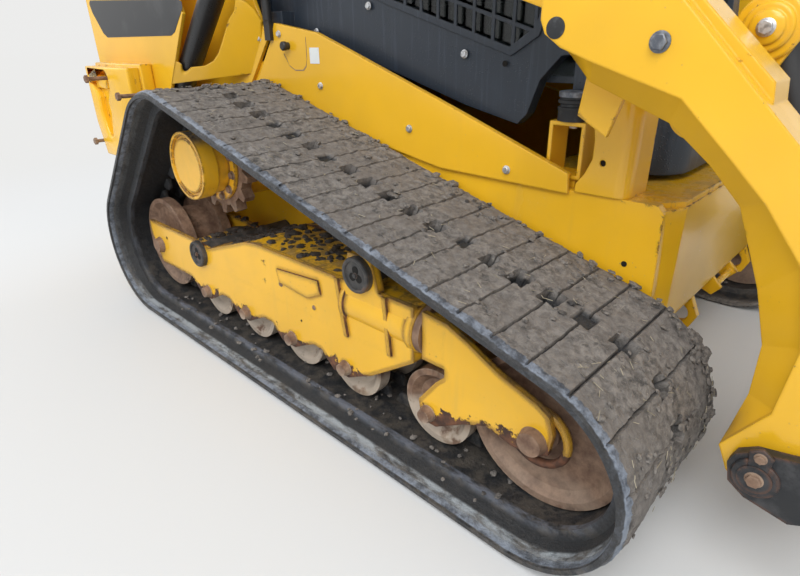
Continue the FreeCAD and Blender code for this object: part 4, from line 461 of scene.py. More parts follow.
dice = random.Random(7)
holes = []
for i in range(pitch_count):
    depth, shift = dice.choice((0.2, 0.7, 0.9, 1.0, 1.0)), dice.uniform(-0.008, 0.006)
    holes.append((depth, shift, dice.uniform(0.015, 0.021), dice.uniform(0.019, 0.027)))
# The crust value is 1 where mud crusts the tread and 0 on the belt's inner faces. It is 0.25 in the groove dips
# and 0 in the sprocket holes, so these recesses take the dark rubber colour as painted shade.
crust_and_recess_shade = tread.data.attributes.new("crust_and_recess_shade", "FLOAT", "POINT")
values = []
for v in tread.data.vertices:
    number = min(pitch_count - 1, max(0, int(v.co.x / pitch)))
    depth, shift, half_u, half_w = holes[number]
    u, w = v.co.x - (number + 0.5) * pitch, v.co.z - middle_w - shift
    crust_and_recess_shade_level = 0.0
    if v.co.y > neutral - 0.021:
        crust_and_recess_shade_level = 1.0
        if v.co.y < neutral - 0.005 and abs(w) < 0.2:
            crust_and_recess_shade_level = 0.25
        if abs(u) < half_u and abs(w) < half_w:
            v.co.y = neutral - 0.040 * depth - 0.004
            crust_and_recess_shade_level = 0.0
        elif abs(v.co.z - middle_w) < 0.215:
            v.co.y += 0.004 * (dice.random() - 0.6)
    values.append(crust_and_recess_shade_level)
crust_and_recess_shade.data.foreach_set("value", values)
thick = tread.vertex_groups.new(name="thick")
for i, value in enumerate(values):
    if value > 0.5 and abs(tread.data.vertices[i].co.z - middle_w) < 0.215:
        thick.add([i], 1.0, "REPLACE")
for name, size, strength in (("mud_waves", 0.09, 0.009), ("mud_lumps", 0.028, 0.006)):
    pattern = bpy.data.textures.new(name, "CLOUDS")
    pattern.noise_scale = size
    heave = tread.modifiers.new(name, "DISPLACE")
    heave.texture = pattern
    heave.strength = strength
    heave.mid_level = 0.62
    heave.direction = "Y"
    heave.vertex_group = "thick"
    bpy.ops.object.modifier_apply(modifier=name)

line = bpy.data.curves.new("track_line", "CURVE")
line.dimensions = "2D"
spline = line.splines.new("POLY")
spline.points.add(len(route) - 1)
for point, spot in zip(spline.points, route):
    point.co = (spot.x, spot.y, 0, 1)
spline.use_cyclic_u = True
guide = bpy.data.objects.new("track_line", line)
scene.collection.objects.link(guide)
bend = tread.modifiers.new("bend", "CURVE")
bend.object = guide
bend.deform_axis = "POS_X"
bpy.context.view_layer.update()
bpy.ops.object.modifier_apply(modifier="bend")
bpy.data.objects.remove(guide)
tread.data.transform(Matrix.Rotation(math.pi / 2, 4, "X"))
for v in tread.data.vertices:
    v.co.z = max(v.co.z, 0.0)
bpy.ops.object.mode_set(mode="EDIT")
bpy.ops.mesh.select_all(action="SELECT")
bpy.ops.mesh.remove_doubles(threshold=0.0012)
bpy.ops.object.mode_set(mode="OBJECT")
bpy.ops.object.shade_smooth_by_angle(angle=math.radians(38))

f = Finish("muddy_rubber")
crust_and_recess_shade_level = Amount(f, f.node("ShaderNodeAttribute", {"attribute_name": "crust_and_recess_shade"}, {}).outputs["Fac"])
grain = f.noise(210, 5, 0.7)
lumps = f.noise(55, 6, 0.7, 0.3)
broad = f.noise(6, 4, 0.6, 0.4)
straw = f.noise(34, 3, 0.5, 1.2, (1.0, 9.0, 3.0), (0, 0, 0.6)).rise(0.66, 0.72).most(
    f.noise(34, 3, 0.5, 1.2, (8.0, 1.2, 3.0), (0, 0, 0.3)).rise(0.67, 0.73))
mud = f.over((0.078, 0.071, 0.066), (0.26, 0.238, 0.216), lumps.rise(0.30, 0.70))
mud = f.over(mud, (0.175, 0.155, 0.138), broad.rise(0.4, 0.65) * 0.6)
mud = f.over(mud, (0.055, 0.052, 0.05), f.noise(18, 6, 0.72).rise(0.57, 0.68))
mud = f.over(mud, (0.42, 0.38, 0.30), straw * 0.6)
rubber = f.over((0.012, 0.013, 0.015), (0.04, 0.042, 0.046), grain.rise(0.35, 0.75))
low_run = f.z.rise(0.16, 0.10)
dust = f.noise(24, 6, 0.7).rise(0.40, 0.62) * (0.15 + low_run * 0.8)
rubber = f.over(rubber, (0.085, 0.074, 0.062), dust)
# Painted sheen: ridge and band lay pale grey-blue tones on the belt's inner side near its edge, strongest on
# the low run; gap_band darkens the rubber between them.
painted_sheen_noise = f.noise(22, 6, 0.72, 0.3, (0.6, 1.4, 1.0))
off_middle = Amount(f, f.node("ShaderNodeMath", {"operation": "ABSOLUTE"}, {0: f.y}).outputs[0])
band = off_middle.rise(0.946, 0.954) * off_middle.rise(0.987, 0.982)
ridge = off_middle.rise(0.900, 0.907) * off_middle.rise(0.924, 0.917)
gap_band = off_middle.rise(0.920, 0.926) * off_middle.rise(0.952, 0.946)
low_part = (f.z + f.x * -0.05).rise(0.13, 0.07)
rubber = f.over(rubber, (0.015, 0.016, 0.018), gap_band * (0.4 + low_run * 0.5))
rubber = f.over(rubber, (0.15, 0.165, 0.20), ridge * painted_sheen_noise.rise(0.36, 0.6) * (0.25 + low_part * 0.6))
rubber = f.over(rubber, (0.33, 0.36, 0.38), painted_sheen_noise.rise(0.34, 0.60) * band * (0.12 + low_part * 0.8))
outside = f.y.rise(-0.958, -0.978).most(f.y.rise(0.958, 0.978))
flank = f.y.rise(-0.9835, -0.9865).most(f.y.rise(0.9835, 0.9865))
# The lip is bare rubber along the tread's outer edge; its lighter grey-blue tone is a painted sheen.
lip = (outside + (lumps - 0.5) * 1.5).rise(0.5, 0.62)
painted_lip_sheen = (f.noise(42, 5, 0.7) + f.noise(4, 3) * 0.6).rise(0.62, 0.95)
lip_tone = f.over((0.045, 0.052, 0.065), (0.22, 0.25, 0.30), painted_lip_sheen)
top = f.over(mud, lip_tone, lip)
top = f.over(top, (0.012, 0.013, 0.015), flank * f.noise(30, 5, 0.7).rise(0.62, 0.5))
# Dark rubber shows where the crust value is low: on the inner faces, and as painted shade in the groove dips
# and sprocket holes.
colour = f.over(rubber, top, crust_and_recess_shade_level.rise(0.15, 0.85) * (1 - flank * 0.85))
rough = 0.88 - lip * 0.42 - (1 - crust_and_recess_shade_level.rise(0.1, 0.9)) * 0.35
bump = f.relief(grain * 0.5 + lumps + straw * 0.3, 0.004)
muddy_rubber = f.done(colour, rough, None, bump)
tread.data.materials.append(muddy_rubber)

bpy.ops.object.select_all(action="DESELECT")
tread.select_set(True)
bpy.context.view_layer.objects.active = tread
bpy.ops.object.duplicate()
left_tread = bpy.context.object
left_tread.name = left_tread.data.name = "track_belt_left"
left_tread.data.transform(Matrix.Scale(-1, 4, (0, 1, 0)))
bpy.ops.object.mode_set(mode="EDIT")
bpy.ops.mesh.select_all(action="SELECT")
bpy.ops.mesh.flip_normals()
bpy.ops.object.mode_set(mode="OBJECT")
for belt, side in ((tread, "right"), (left_tread, "left")):
    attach(belt, "chassis")
    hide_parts(f"track_{side}")

# Side panels, front posts and mount brackets: folded sheet steel over the chassis sides.
# The towers, the lift arms and their cross tube are welded plate. All of them carry the cleanest enamel.
yellow_panel = enamel("yellow_panel", (0.87, 0.48, 0.02), 0.12, 0.14, -0.4, 0.2)
wear(yellow_panel, "side_panels", "front_posts", "mount_brackets", "towers")
wear(yellow_panel, "lift_arm_right", "lift_arm_left", "arm_cross_tube")

# Cab: pressed and welded frame, floor, roof and panels in dark slate powder coat, wet with rain.
# The engine bay's covers, the guards and the struts carry the same coat, in slate or in black.
def slate_coat(name, tone, rough, rain):
    """Fine-grained powder coat with rain streaks; rain raises beads on it."""
    f = Finish(name, coat=0.1)
    grain = f.noise(420, 3, 0.6)
    streak = f.noise(26, 5, 0.65, 0.3, (2.6, 2.6, 0.16))
    dust = f.noise(4, 6, 0.7)
    colour = f.over(tone, tuple(c * 1.7 + 0.006 for c in tone), streak.rise(0.5, 0.72) * 0.7)
    colour = f.over(colour, tuple(c * 2.4 for c in tone), dust.rise(0.55, 0.8) * 0.3)
    beads = f.cells(150).rise(0.30, 0.12) * f.noise(14, 3).rise(0.42, 0.58)
    worn = f.edges(0.004).rise(0.06, 0.4) * f.noise(40, 5, 0.7).rise(0.5, 0.62)
    colour = f.over(colour, (0.13, 0.14, 0.15), worn * 0.6)
    wet = streak.rise(0.5, 0.75) * -0.14 + beads * -0.2
    bump = f.relief(grain * 0.12 + beads * (0.5 * rain), 0.0012, f.rounded(0.004))
    return f.done(colour, rough + wet, None, bump)


slate = slate_coat("cab_slate", (0.019, 0.027, 0.040), 0.46, 1.0)
wear(slate, "cab_frame", "cab_floor", "cab_roof", "window_guards", "cab_door", "bay_sides", "rear_door")
wear(slate, "cowl", "hood", "fixed_hinges")
black_coat = slate_coat("black_coat", (0.014, 0.014, 0.015), 0.5, 0.4)
wear(black_coat, "cab_struts")

# Window glass: toughened, slightly tinted panes in the cab's sides, its rear wall and its door.
# They are bonded to the frame.
glass = Finish("tinted_glass", rough=0.03)
glass.shader.inputs["Transmission Weight"].default_value = 1.0
glass.shader.inputs["IOR"].default_value = 1.45
wear(glass.done((0.35, 0.40, 0.40)), "cab_glass", "door_glass")

# Drum caps: pressed covers inside the rims of the planetary drums, beaded twice and plugged in the middle.
# Their enamel is the drum's; the sprockets' flanges behind are held by rusty hex bolts.
down = Vector((0, 0, -1))


def only(piece):
    bpy.ops.object.select_all(action="DESELECT")
    piece.select_set(True)
    bpy.context.view_layer.objects.active = piece
    return piece


def outward(piece):
    """Doubled points merged and all faces turned to look out."""
    only(piece)
    bpy.ops.object.mode_set(mode="EDIT")
    bpy.ops.mesh.select_all(action="SELECT")
    bpy.ops.mesh.remove_doubles(threshold=0.00002)
    bpy.ops.mesh.normals_make_consistent(inside=False)
    bpy.ops.object.mode_set(mode="OBJECT")
    return piece


def aimed(aim, spin=0.0):
    """Turns Z towards aim, after a spin about Z."""
    swing = Vector((0, 0, 1)).rotation_difference(Vector(aim))
    return swing.to_matrix().to_4x4() @ Matrix.Rotation(spin, 4, "Z")


def turned(steps, spot, aim=(0, 0, 1), around=24):
    """Round piece from (distance along its axis, radius) steps, closed at both ends."""
    bpy.ops.object.select_all(action="DESELECT")
    start, wide = steps[0]
    bpy.ops.mesh.primitive_circle_add(vertices=around, radius=wide, fill_type="NGON", location=(0, 0, start))
    piece = bpy.context.object
    bpy.ops.object.transform_apply(location=True)
    bpy.ops.object.mode_set(mode="EDIT")
    bpy.ops.mesh.select_all(action="SELECT")
    for (before, wide), (place, radius) in zip(steps, steps[1:]):
        bpy.ops.mesh.extrude_region_move(TRANSFORM_OT_translate={"value": (0, 0, place - before)})
        bpy.ops.transform.resize(value=(radius / wide, radius / wide, 1), center_override=(0, 0, place))
    bpy.ops.object.mode_set(mode="OBJECT")
    piece.data.transform(Matrix.Translation(spot) @ aimed(aim))
    return outward(piece)


def bead(radius, thick, spot, aim=(0, 0, 1), around=36):
    """Round ring lying across aim."""
    bpy.ops.object.select_all(action="DESELECT")
    bpy.ops.mesh.primitive_torus_add(
        major_radius=radius, minor_radius=thick, major_segments=around, minor_segments=8
    )
    piece = bpy.context.object
    piece.data.transform(Matrix.Translation(spot) @ aimed(aim))
    return piece


def block(low, high, soft=0.0, steps=2):
    """Box between two corners, with its edges rounded."""
    bpy.ops.object.select_all(action="DESELECT")
    bpy.ops.mesh.primitive_cube_add(size=1, location=[(a + b) / 2 for a, b in zip(low, high)])
    piece = bpy.context.object
    piece.scale = [b - a for a, b in zip(low, high)]
    bpy.ops.object.transform_apply(location=True, rotation=True, scale=True)
    if soft:
        bevel = piece.modifiers.new("soft", "BEVEL")
        bevel.width = soft
        bevel.segments = steps
        bpy.ops.object.modifier_apply(modifier="soft")
    return piece


def cut_plate(outlines, near, far, soft=0.0):
    """Plate across Y from closed outlines in (x, z); outlines after the first are openings."""
    line = bpy.data.curves.new("plate", "CURVE")
    line.dimensions = "2D"
    line.fill_mode = "BOTH"
    for outline in outlines:
        run = line.splines.new("POLY")
        run.points.add(len(outline) - 1)
        for point, (x, z) in zip(run.points, outline):
            point.co = (x, z, 0, 1)
        run.use_cyclic_u = True
    line.extrude = abs(far - near) / 2 - soft
    line.bevel_depth = soft
    line.bevel_resolution = 2
    line.offset = -soft
    piece = bpy.data.objects.new("plate", line)
    scene.collection.objects.link(piece)
    only(piece)
    bpy.ops.object.convert(target="MESH")
    piece = bpy.context.object
    piece.data.transform(Matrix.Translation((0, (near + far) / 2, 0)) @ Matrix.Rotation(math.pi / 2, 4, "X"))
    return outward(piece)


def gather(pieces):
    bpy.ops.object.select_all(action="DESELECT")
    for piece in pieces:
        piece.select_set(True)
    bpy.context.view_layer.objects.active = pieces[0]
    if len(pieces) > 1:
        bpy.ops.object.join()
    return pieces[0]


def kept_shape(piece):
    """The mesh of a model, taken off the stage so that copies of it can be placed."""
    shape = piece.data
    bpy.data.objects.remove(piece)
    return shape


def spread(shapes, spots):
    """Copies of the shapes in turn, each with its own mesh, at (place, aim, spin, size)."""
    copies = []
    for number, (place, aim, spin, size) in enumerate(spots):
        copy = bpy.data.objects.new("copy", shapes[number % len(shapes)].copy())
        scene.collection.objects.link(copy)
        size = Vector((1, 1, 1)) * size if isinstance(size, float) else Vector(size)
        copy.data.transform(Matrix.Translation(place) @ aimed(aim, spin) @ Matrix.Diagonal((*size, 1)))
        copies.append(copy)
    return gather(copies)


def both_sides(piece):
    """The same again on the other side of the machine."""
    only(piece)
    mirror = piece.modifiers.new("sides", "MIRROR")
    mirror.use_axis = (False, True, False)
    mirror.use_mirror_merge = False
    bpy.ops.object.modifier_apply(modifier="sides")
    return piece


def settle(piece, name, finish, body, slot, *replaced):
    """Names a finished piece, coats it and hands it over with its body. Its slot is not used."""
    piece.name = piece.data.name = name
    piece.data.materials.clear()
    piece.data.materials.append(finish)
    only(piece)
    bpy.ops.object.shade_smooth_by_angle(angle=math.radians(38))
    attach(piece, body)
    if replaced:
        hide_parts(*replaced)
    return piece


def pair(piece, name, finish, body, slot, *replaced):
    """Settles a piece, or a list of parts, together with its mirror image."""
    if isinstance(piece, list):
        piece = gather(piece)
    settle(both_sides(piece), name, finish, body, slot, *replaced)


rightward, forward = (0, -1, 0), (1, 0, 0)
hub_x, hub_z, drum_face = -0.350, 0.600, -0.885
caps = [
    bead(0.0845, 0.0045, (hub_x, drum_face, hub_z), rightward, 48),
    bead(0.0765, 0.0030, (hub_x, drum_face, hub_z), rightward, 48),
    turned([(0, 0.012), (0.003, 0.012), (0.0055, 0.008)], (hub_x, drum_face + 0.001, hub_z), rightward, 16),
]
for x, z in ((hub_x + 0.048, hub_z - 0.030), (hub_x - 0.050, hub_z + 0.028)):
    caps.append(turned([(0, 0.006), (0.004, 0.006), (0.0055, 0.004)], (x, drum_face + 0.001, z), rightward, 12))
pair(caps, "drum_caps", yellow_drum, "chassis", "machine_yellow")

hex_bolt = kept_shape(gather([
    turned([(0, 1.25), (0.14, 1.25), (0.2, 1.15)], (0, 0, 0), around=20),
    turned([(0.2, 1.0), (0.75, 1.0), (0.85, 0.86)], (0, 0, 0), around=6),
]))
dome = [(0, 1.2), (0.12, 1.2), (0.3, 1.02), (0.55, 0.72), (0.66, 0.3)]
dome_bolt = kept_shape(turned(dome, (0, 0, 0), around=20))
ring = [math.radians(15 + 30 * k) for k in range(12)]
flange = []
for a in ring:
    flange.append(((hub_x + 0.114 * math.cos(a), -0.799, hub_z + 0.114 * math.sin(a)), rightward, a, 0.0115))
pair(spread([hex_bolt], flange), "sprocket_bolts", rusty_iron, "chassis", "cast_brown")

# Torsion axle ends: black cast caps on the frame's arms, with a raised rim, three recesses drawn as flat discs
# of painted shade and a bolt in the middle. Oil and old rust darken them.
f = Finish("black_casting")
fine = f.noise(34, 6, 0.7)
colour = f.over((0.030, 0.029, 0.029), (0.085, 0.078, 0.072), fine.rise(0.35, 0.7))
colour = f.over(colour, (0.13, 0.06, 0.03), (f.noise(17, 6, 0.7) + f.edges(0.006) * 0.3).rise(0.56, 0.66) * 0.8)
black_casting = f.done(colour, 0.5 + fine * 0.2, None, f.relief(fine, 0.0014))
wear(black_casting, "torsion_axles")
axle_spots = ((-0.367, 0.297), (0.457, 0.452))
cap_parts, lobes = [], []
for x, z in axle_spots:
    cap_parts.append(bead(0.0400, 0.0058, (x, -0.904, z), rightward))
    for k in range(3):
        a = math.radians(90 + 120 * k)
        spot = (x + 0.013 * math.cos(a), -0.9040, z + 0.013 * math.sin(a))
        lobes.append(turned([(0, 0.0105), (0.0008, 0.0105)], spot, rightward, 18))
pair(cap_parts, "axle_caps", black_casting, "chassis", "cast_brown")

f = Finish("zinc_bolts", rough=0.34, metal=0.85)
tarnish = f.noise(90, 4, 0.6)
zinc = f.done(f.over((0.62, 0.63, 0.65), (0.30, 0.29, 0.28), tarnish.rise(0.45, 0.7)), 0.3 + tarnish * 0.25)
axle_bolts = [((x, -0.9045, z), rightward, 0.4, 0.0062) for x, z in axle_spots]
pair(spread([hex_bolt], axle_bolts), "axle_bolts", black_casting, "chassis", "cast_brown")

# Recoil housings: half-round swellings of the track frames round the track tensioners, with an end flange.
# They are welded in and enamelled with the frame.
recoil_y, recoil_z = -0.838, 0.350
recoil = (0, recoil_y, recoil_z)
housing = [turned(steps, recoil, forward, 32) for steps in (
    [(0.386, 0.0610), (0.633, 0.0610)],
    [(0.610, 0.0600), (0.612, 0.0665), (0.630, 0.0665), (0.634, 0.0630)],
    [(0.382, 0.0600), (0.384, 0.0665), (0.398, 0.0665), (0.400, 0.0600)],
)]
pair(housing, "recoil_housings", yellow_frame, "chassis", "machine_yellow")
seal = turned([(0.6355, 0.0630), (0.6540, 0.0630)], recoil, forward, 32)
pair(seal, "recoil_seals", rusty_iron, "chassis", "cast_brown")
collar = bead(0.0640, 0.0095, (0.952, -0.868, 0.231), rightward, 44)
pair(collar, "idler_collars", yellow_frame, "chassis", "machine_yellow")
studs = [((0.112, -0.8905, 0.323), rightward, 0.3, 0.0075), ((0.262, -0.8905, 0.296), rightward, 0.1, 0.006)]
pair(spread([dome_bolt], studs), "frame_studs", rusty_iron, "chassis", "cast_brown")
# Flat near-black discs are painted shade: they stand in for two holes in the frame and for the three recesses
# in each axle cap.
hole_shade_finish = Finish("painted_hole_shade", rough=0.95)
dark = hole_shade_finish.done((0.006, 0.005, 0.004))
pits = [((-0.628, -0.8898, 0.292), rightward, 0.0, (0.0055, 0.0055, 0.0010)),
        ((0.196, -0.8898, 0.232), rightward, 0.0, (0.0035, 0.0035, 0.0010))]
disc = kept_shape(turned([(0, 1.0), (1, 1.0)], (0, 0, 0), around=20))
pair(spread([disc], pits), "frame_hole_shades", dark, "chassis", "frame_black")
pair(lobes, "axle_cap_recess_shades", dark, "chassis", "frame_black")

# Mud and straw: clods pressed on the tread and heaped on the frames, with stones on the belt's lower run.
# It is dry grey-brown on the tread and black and wet on the frames.
dice = random.Random(23)
clods = []
for k in range(5):
    bpy.ops.object.select_all(action="DESELECT")
    bpy.ops.mesh.primitive_ico_sphere_add(subdivisions=2, radius=1)
    clod = bpy.context.object
    for v in clod.data.vertices:
        v.co = v.co * dice.uniform(0.62, 1.18)
    clods.append(kept_shape(clod))
middle = sum(route, Vector((0, 0))) / len(route)


def on_loop(place, height):
    """Point of the belt's loop in (x, z), height above the tread, with the way out."""
    k = int(place * len(route)) % len(route)
    along = (route[(k + 1) % len(route)] - route[k]).normalized()
    out = Vector((along.y, -along.x))
    if out.dot(route[k] - middle) < 0:
        out = -out
    return route[k] + along * dice.uniform(0, 0.04) + out * (neutral + height), out


clod_spots, straw_spots = [], []
while len(clod_spots) < 420:
    spot, out = on_loop(dice.random(), 0.0)
    lot = dice.random()
    if lot < 0.42:
        y = -0.548 - abs(dice.gauss(0, 0.030))
    elif lot < 0.62:
        y = dice.gauss(-0.766, 0.040)
    else:
        y = dice.uniform(-0.968, -0.560)
    size = dice.uniform(0.003, 0.0085) * (1.5 if lot < 0.42 and dice.random() < 0.5 else 1.0)
    if out.y > -0.2 and y > -0.975:
        squash = (size * dice.uniform(0.8, 1.8), size * dice.uniform(0.8, 1.6), size * dice.uniform(0.4, 0.9))
        clod_spots.append(((spot.x, y, spot.y), (out.x, 0, out.y), dice.uniform(0, 6.3), squash))
while len(straw_spots) < 230:
    spot, out = on_loop(dice.random(), 0.0025)
    y = dice.uniform(-0.965, -0.555)
    if out.y > -0.2:
        aim = Vector((out.x * dice.uniform(-0.1, 0.1), dice.uniform(-1, 1), 0))
        aim = aim + Vector((out.y, 0, -out.x)) * dice.uniform(-1.4, 1.4)
        stalk = (0.0006, 0.0006, dice.uniform(0.006, 0.022))
        straw_spots.append(((spot.x, y, spot.y), aim.normalized(), 0.0, stalk))
f = Finish("clod_mud", rough=0.92)
crumb = f.noise(120, 5, 0.7)
colour = f.over((0.075, 0.068, 0.062), (0.25, 0.225, 0.20), crumb.rise(0.3, 0.7))
colour = f.over(colour, (0.05, 0.046, 0.044), f.noise(11, 4, 0.6).rise(0.55, 0.66))
clod_mud = f.done(colour, 0.95, None, f.relief(crumb, 0.003))
pair(spread(clods, clod_spots), "tread_clods", clod_mud, "chassis", "track_rubber")
f = Finish("dry_straw", rough=0.8)
dry_straw = f.done(f.over((0.22, 0.19, 0.13), (0.42, 0.37, 0.27), f.noise(15, 3).rise(0.4, 0.6)))
pair(spread([disc], straw_spots), "tread_straw", dry_straw, "chassis", "track_rubber")

stone_spots = []
for k in range(170):
    x, y = dice.uniform(-0.62, 0.93), dice.uniform(-0.955, -0.60)
    size = dice.uniform(0.0025, 0.0085)
    squash = (size * dice.uniform(0.9, 1.5), size, size * dice.uniform(0.5, 0.9))
    stone_spots.append(((x, y, 0.057), (0, 0, 1), dice.uniform(0, 6.3), squash))
bpy.context.view_layer.update()
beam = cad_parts["track_frames"]
heap_spots = []
while len(heap_spots) < 330:
    heap = dice.random()
    if heap < 0.55:
        x, y = dice.gauss(-0.30, 0.13), dice.gauss(-0.715, 0.050)
    elif heap < 0.8:
        x, y = dice.gauss(0.10, 0.16), dice.gauss(-0.76, 0.05)
    else:
        x, y = dice.gauss(-0.48, 0.08), dice.gauss(-0.80, 0.04)
    hit, where, normal, face = beam.ray_cast(Vector((x, y, 0.55)), down)
    if hit and where.z > 0.26 and normal.z > 0.6 and -0.885 < y < -0.64:
        size = dice.uniform(0.004, 0.013) * (1.5 if heap < 0.55 else 1.0)
        squash = (size * dice.uniform(0.8, 1.9), size * dice.uniform(0.8, 1.5), size * dice.uniform(0.4, 0.9))
        heap_spots.append((where, normal, dice.uniform(0, 6.3), squash))
f = Finish("wet_mud", rough=0.7)
crumb = f.noise(90, 5, 0.7)
colour = f.over((0.022, 0.017, 0.014), (0.10, 0.080, 0.065), crumb.rise(0.35, 0.75))
wet_mud = f.done(colour, 0.5 + crumb * 0.5, None, f.relief(crumb, 0.003))
pair(spread(clods, heap_spots), "frame_mud", wet_mud, "chassis", "frame_black")
pair(spread(clods, stone_spots), "belt_stones", clod_mud, "chassis", "track_rubber")

# Rear weights: cast slabs bolted outside the towers, in two layers, with a deep teardrop pocket outside.
# They are enamelled yellow; long rusty bolts stand out of them.
inner_slab = [(-1.325, 0.500), (-0.925, 0.500), (-0.905, 0.699), (-0.905, 0.889),
              (-1.365, 0.889), (-1.365, 0.650)]
outer_slab = [(-1.313, 0.510), (-0.937, 0.510), (-0.917, 0.699), (-0.917, 0.877),
              (-1.353, 0.877), (-1.353, 0.650)]
pocket = [(-1.318, 0.862), (-1.140, 0.858), (-1.124, 0.838), (-1.128, 0.796), (-1.172, 0.744), (-1.166, 0.700),
          (-1.200, 0.606), (-1.222, 0.592), (-1.246, 0.604), (-1.272, 0.700), (-1.262, 0.756), (-1.296, 0.790),
          (-1.324, 0.812)]
slabs = [
    cut_plate([inner_slab], -0.7025, -0.7510, 0.008),
    cut_plate([outer_slab], -0.7515, -0.7720, 0.004),
    cut_plate([outer_slab, pocket], -0.7640, -0.7995, 0.009),
    block((-1.300, -0.786, 0.790), (-1.180, -0.768, 0.846), 0.008),
]
pair(slabs, "weight_castings", yellow_body, "chassis", "machine_yellow", "counterweights")
long_bolts = []
for x, z, tip, root in (
    (-1.165, 0.834, 0.860, 0.766),
    (-0.880, 0.782, 0.858, 0.700),
    (-1.334, 0.568, 0.826, 0.766),
):
    long_bolts.append(turned([(root, 0.0075), (tip, 0.0075)], (x, 0, z), rightward, 16))
    nut = [(tip - 0.002, 0.0150), (tip + 0.009, 0.0150), (tip + 0.011, 0.0130)]
    long_bolts.append(turned(nut, (x, 0, z), rightward, 6))
pair(long_bolts, "weight_bolts", rusty_iron, "chassis", "cast_brown")

# Tower labels: a black foil stuck along each tower's outer plate, above the rear weights.
# It has rounded corners and carries no marks.
label = [(-1.406, 1.118), (-1.392, 1.084), (-1.318, 1.002), (-1.284, 0.986), (-0.700, 0.985), (-0.668, 0.996),
         (-0.584, 1.068), (-0.582, 1.086), (-0.604, 1.094), (-1.390, 1.130)]
f = Finish("black_label", rough=0.35)
black_label = f.done(f.over((0.012, 0.013, 0.015), (0.035, 0.036, 0.038), f.noise(7, 4).rise(0.5, 0.7)), 0.3)
pair(cut_plate([label], -0.7022, -0.7032), "tower_labels", black_label, "chassis", "frame_black")

# Side panel fittings: bright hex screws that hold the sheet to the hull, a twist knob and a blank white label.
# A shallow seam with round corners shows where a cover lies behind; the holes left for fittings are flat discs
# of painted shade.
screws = [((x, y, z), rightward, 0.3 * k, 0.0085) for k, (x, y, z) in enumerate((
    (-0.276, -0.541, 0.983), (-0.078, -0.541, 0.832), (0.624, -0.541, 0.666), (-0.390, -0.541, 0.971),
    (0.300, -0.541, 0.735), (0.084, -0.476, 1.050), (-0.160, -0.476, 0.987), (0.434, -0.476, 0.925),
))]
pair(spread([hex_bolt], screws), "panel_screws", zinc, "chassis", "steel")
knob_steps = [(0, 0.011), (0.010, 0.011), (0.012, 0.014), (0.022, 0.014), (0.025, 0.011)]
knob = turned(knob_steps, (-0.232, -0.5405, 0.947), rightward, 20)
pair(knob, "panel_knobs", black_coat, "chassis", "frame_black")
blank = cut_plate([[(-0.122, 0.896), (-0.076, 0.896), (-0.076, 0.942), (-0.122, 0.942)]], -0.5403, -0.5412)
f = Finish("blank_label", rough=0.4)
blank_label = f.done(f.over((0.72, 0.74, 0.72), (0.45, 0.45, 0.42), f.noise(40, 4).rise(0.55, 0.7)), 0.4)
pair(blank, "panel_labels", blank_label, "chassis", "machine_yellow")
seam_line = [(-0.138, 0.970), (-0.140, 0.906), (-0.144, 0.886), (-0.160, 0.874), (-0.202, 0.873),
             (-0.232, 0.886), (-0.260, 0.923)]
seam_line = seam_line + [(x - 0.002 if z < 0.9 else x + 0.002, z + 0.003) for x, z in reversed(seam_line)]
seam = cut_plate([seam_line], -0.5402, -0.5408)
pair(seam, "panel_seams", rusty_iron, "chassis", "machine_yellow")
# Flat near-black discs are painted shade for the holes left for fittings.
openings = [
    ((0.860, -0.5301, 0.711), rightward, 0.0, (0.0065, 0.0065, 0.0012)),
    ((0.940, -0.5301, 0.498), rightward, 0.0, (0.0065, 0.0065, 0.0012)),
    ((0.558, -0.4755, 0.904), rightward, 0.0, (0.0070, 0.0070, 0.0012)),
]
pair(spread([disc], openings), "side_hole_shades", dark, "chassis", "frame_black")

# Lift arm fittings: a rubber plug in each arm's access hole, a pivot bolt and the stepped bosses of the
# tilt pins. They are pressed, screwed or welded to the arms.
plug = turned([(0, 0.0175), (0.001, 0.0175), (0.0015, 0.0160)], (0.844, -0.7600, 0.976), rightward, 28)
f = Finish("black_rubber", rough=0.6)
ribs = f.noise(60, 4, 0.6)
colour = f.over((0.014, 0.015, 0.017), (0.05, 0.052, 0.055), ribs.rise(0.5, 0.75))
black_rubber = f.done(colour, 0.62, None, f.relief(ribs, 0.0006))
pair(plug, "arm_plugs", black_rubber, "lift_arms", "mount_rubber")
f = Finish("grey_bolt", rough=0.5, metal=0.5)
grey_bolt = f.done(f.over((0.10, 0.11, 0.13), (0.24, 0.25, 0.27), f.noise(70, 4).rise(0.4, 0.7)), 0.45)
arm_bolt = spread([hex_bolt], [((1.022, -0.7602, 0.953), rightward, 0.5, 0.0130)])
pair(arm_bolt, "arm_bolts", grey_bolt, "lift_arms", "steel")
tilt_eye = [turned(steps, (1.118, -0.5582, 0.971), rightward, around) for steps, around in (
    ([(0, 0.052), (0.004, 0.052), (0.007, 0.049)], 40),
    ([(0.006, 0.038), (0.011, 0.038), (0.014, 0.035)], 40),
    ([(0.012, 0.026), (0.018, 0.026), (0.020, 0.023)], 32),
)]
pair(tilt_eye, "tilt_pin_bosses", yellow_panel, "lift_arms", "machine_yellow")
tilt_bolt = spread([hex_bolt], [((1.118, -0.5780, 0.971), rightward, 0.2, 0.0115)])
pair(tilt_bolt, "tilt_pin_bolts", zinc, "lift_arms", "steel")

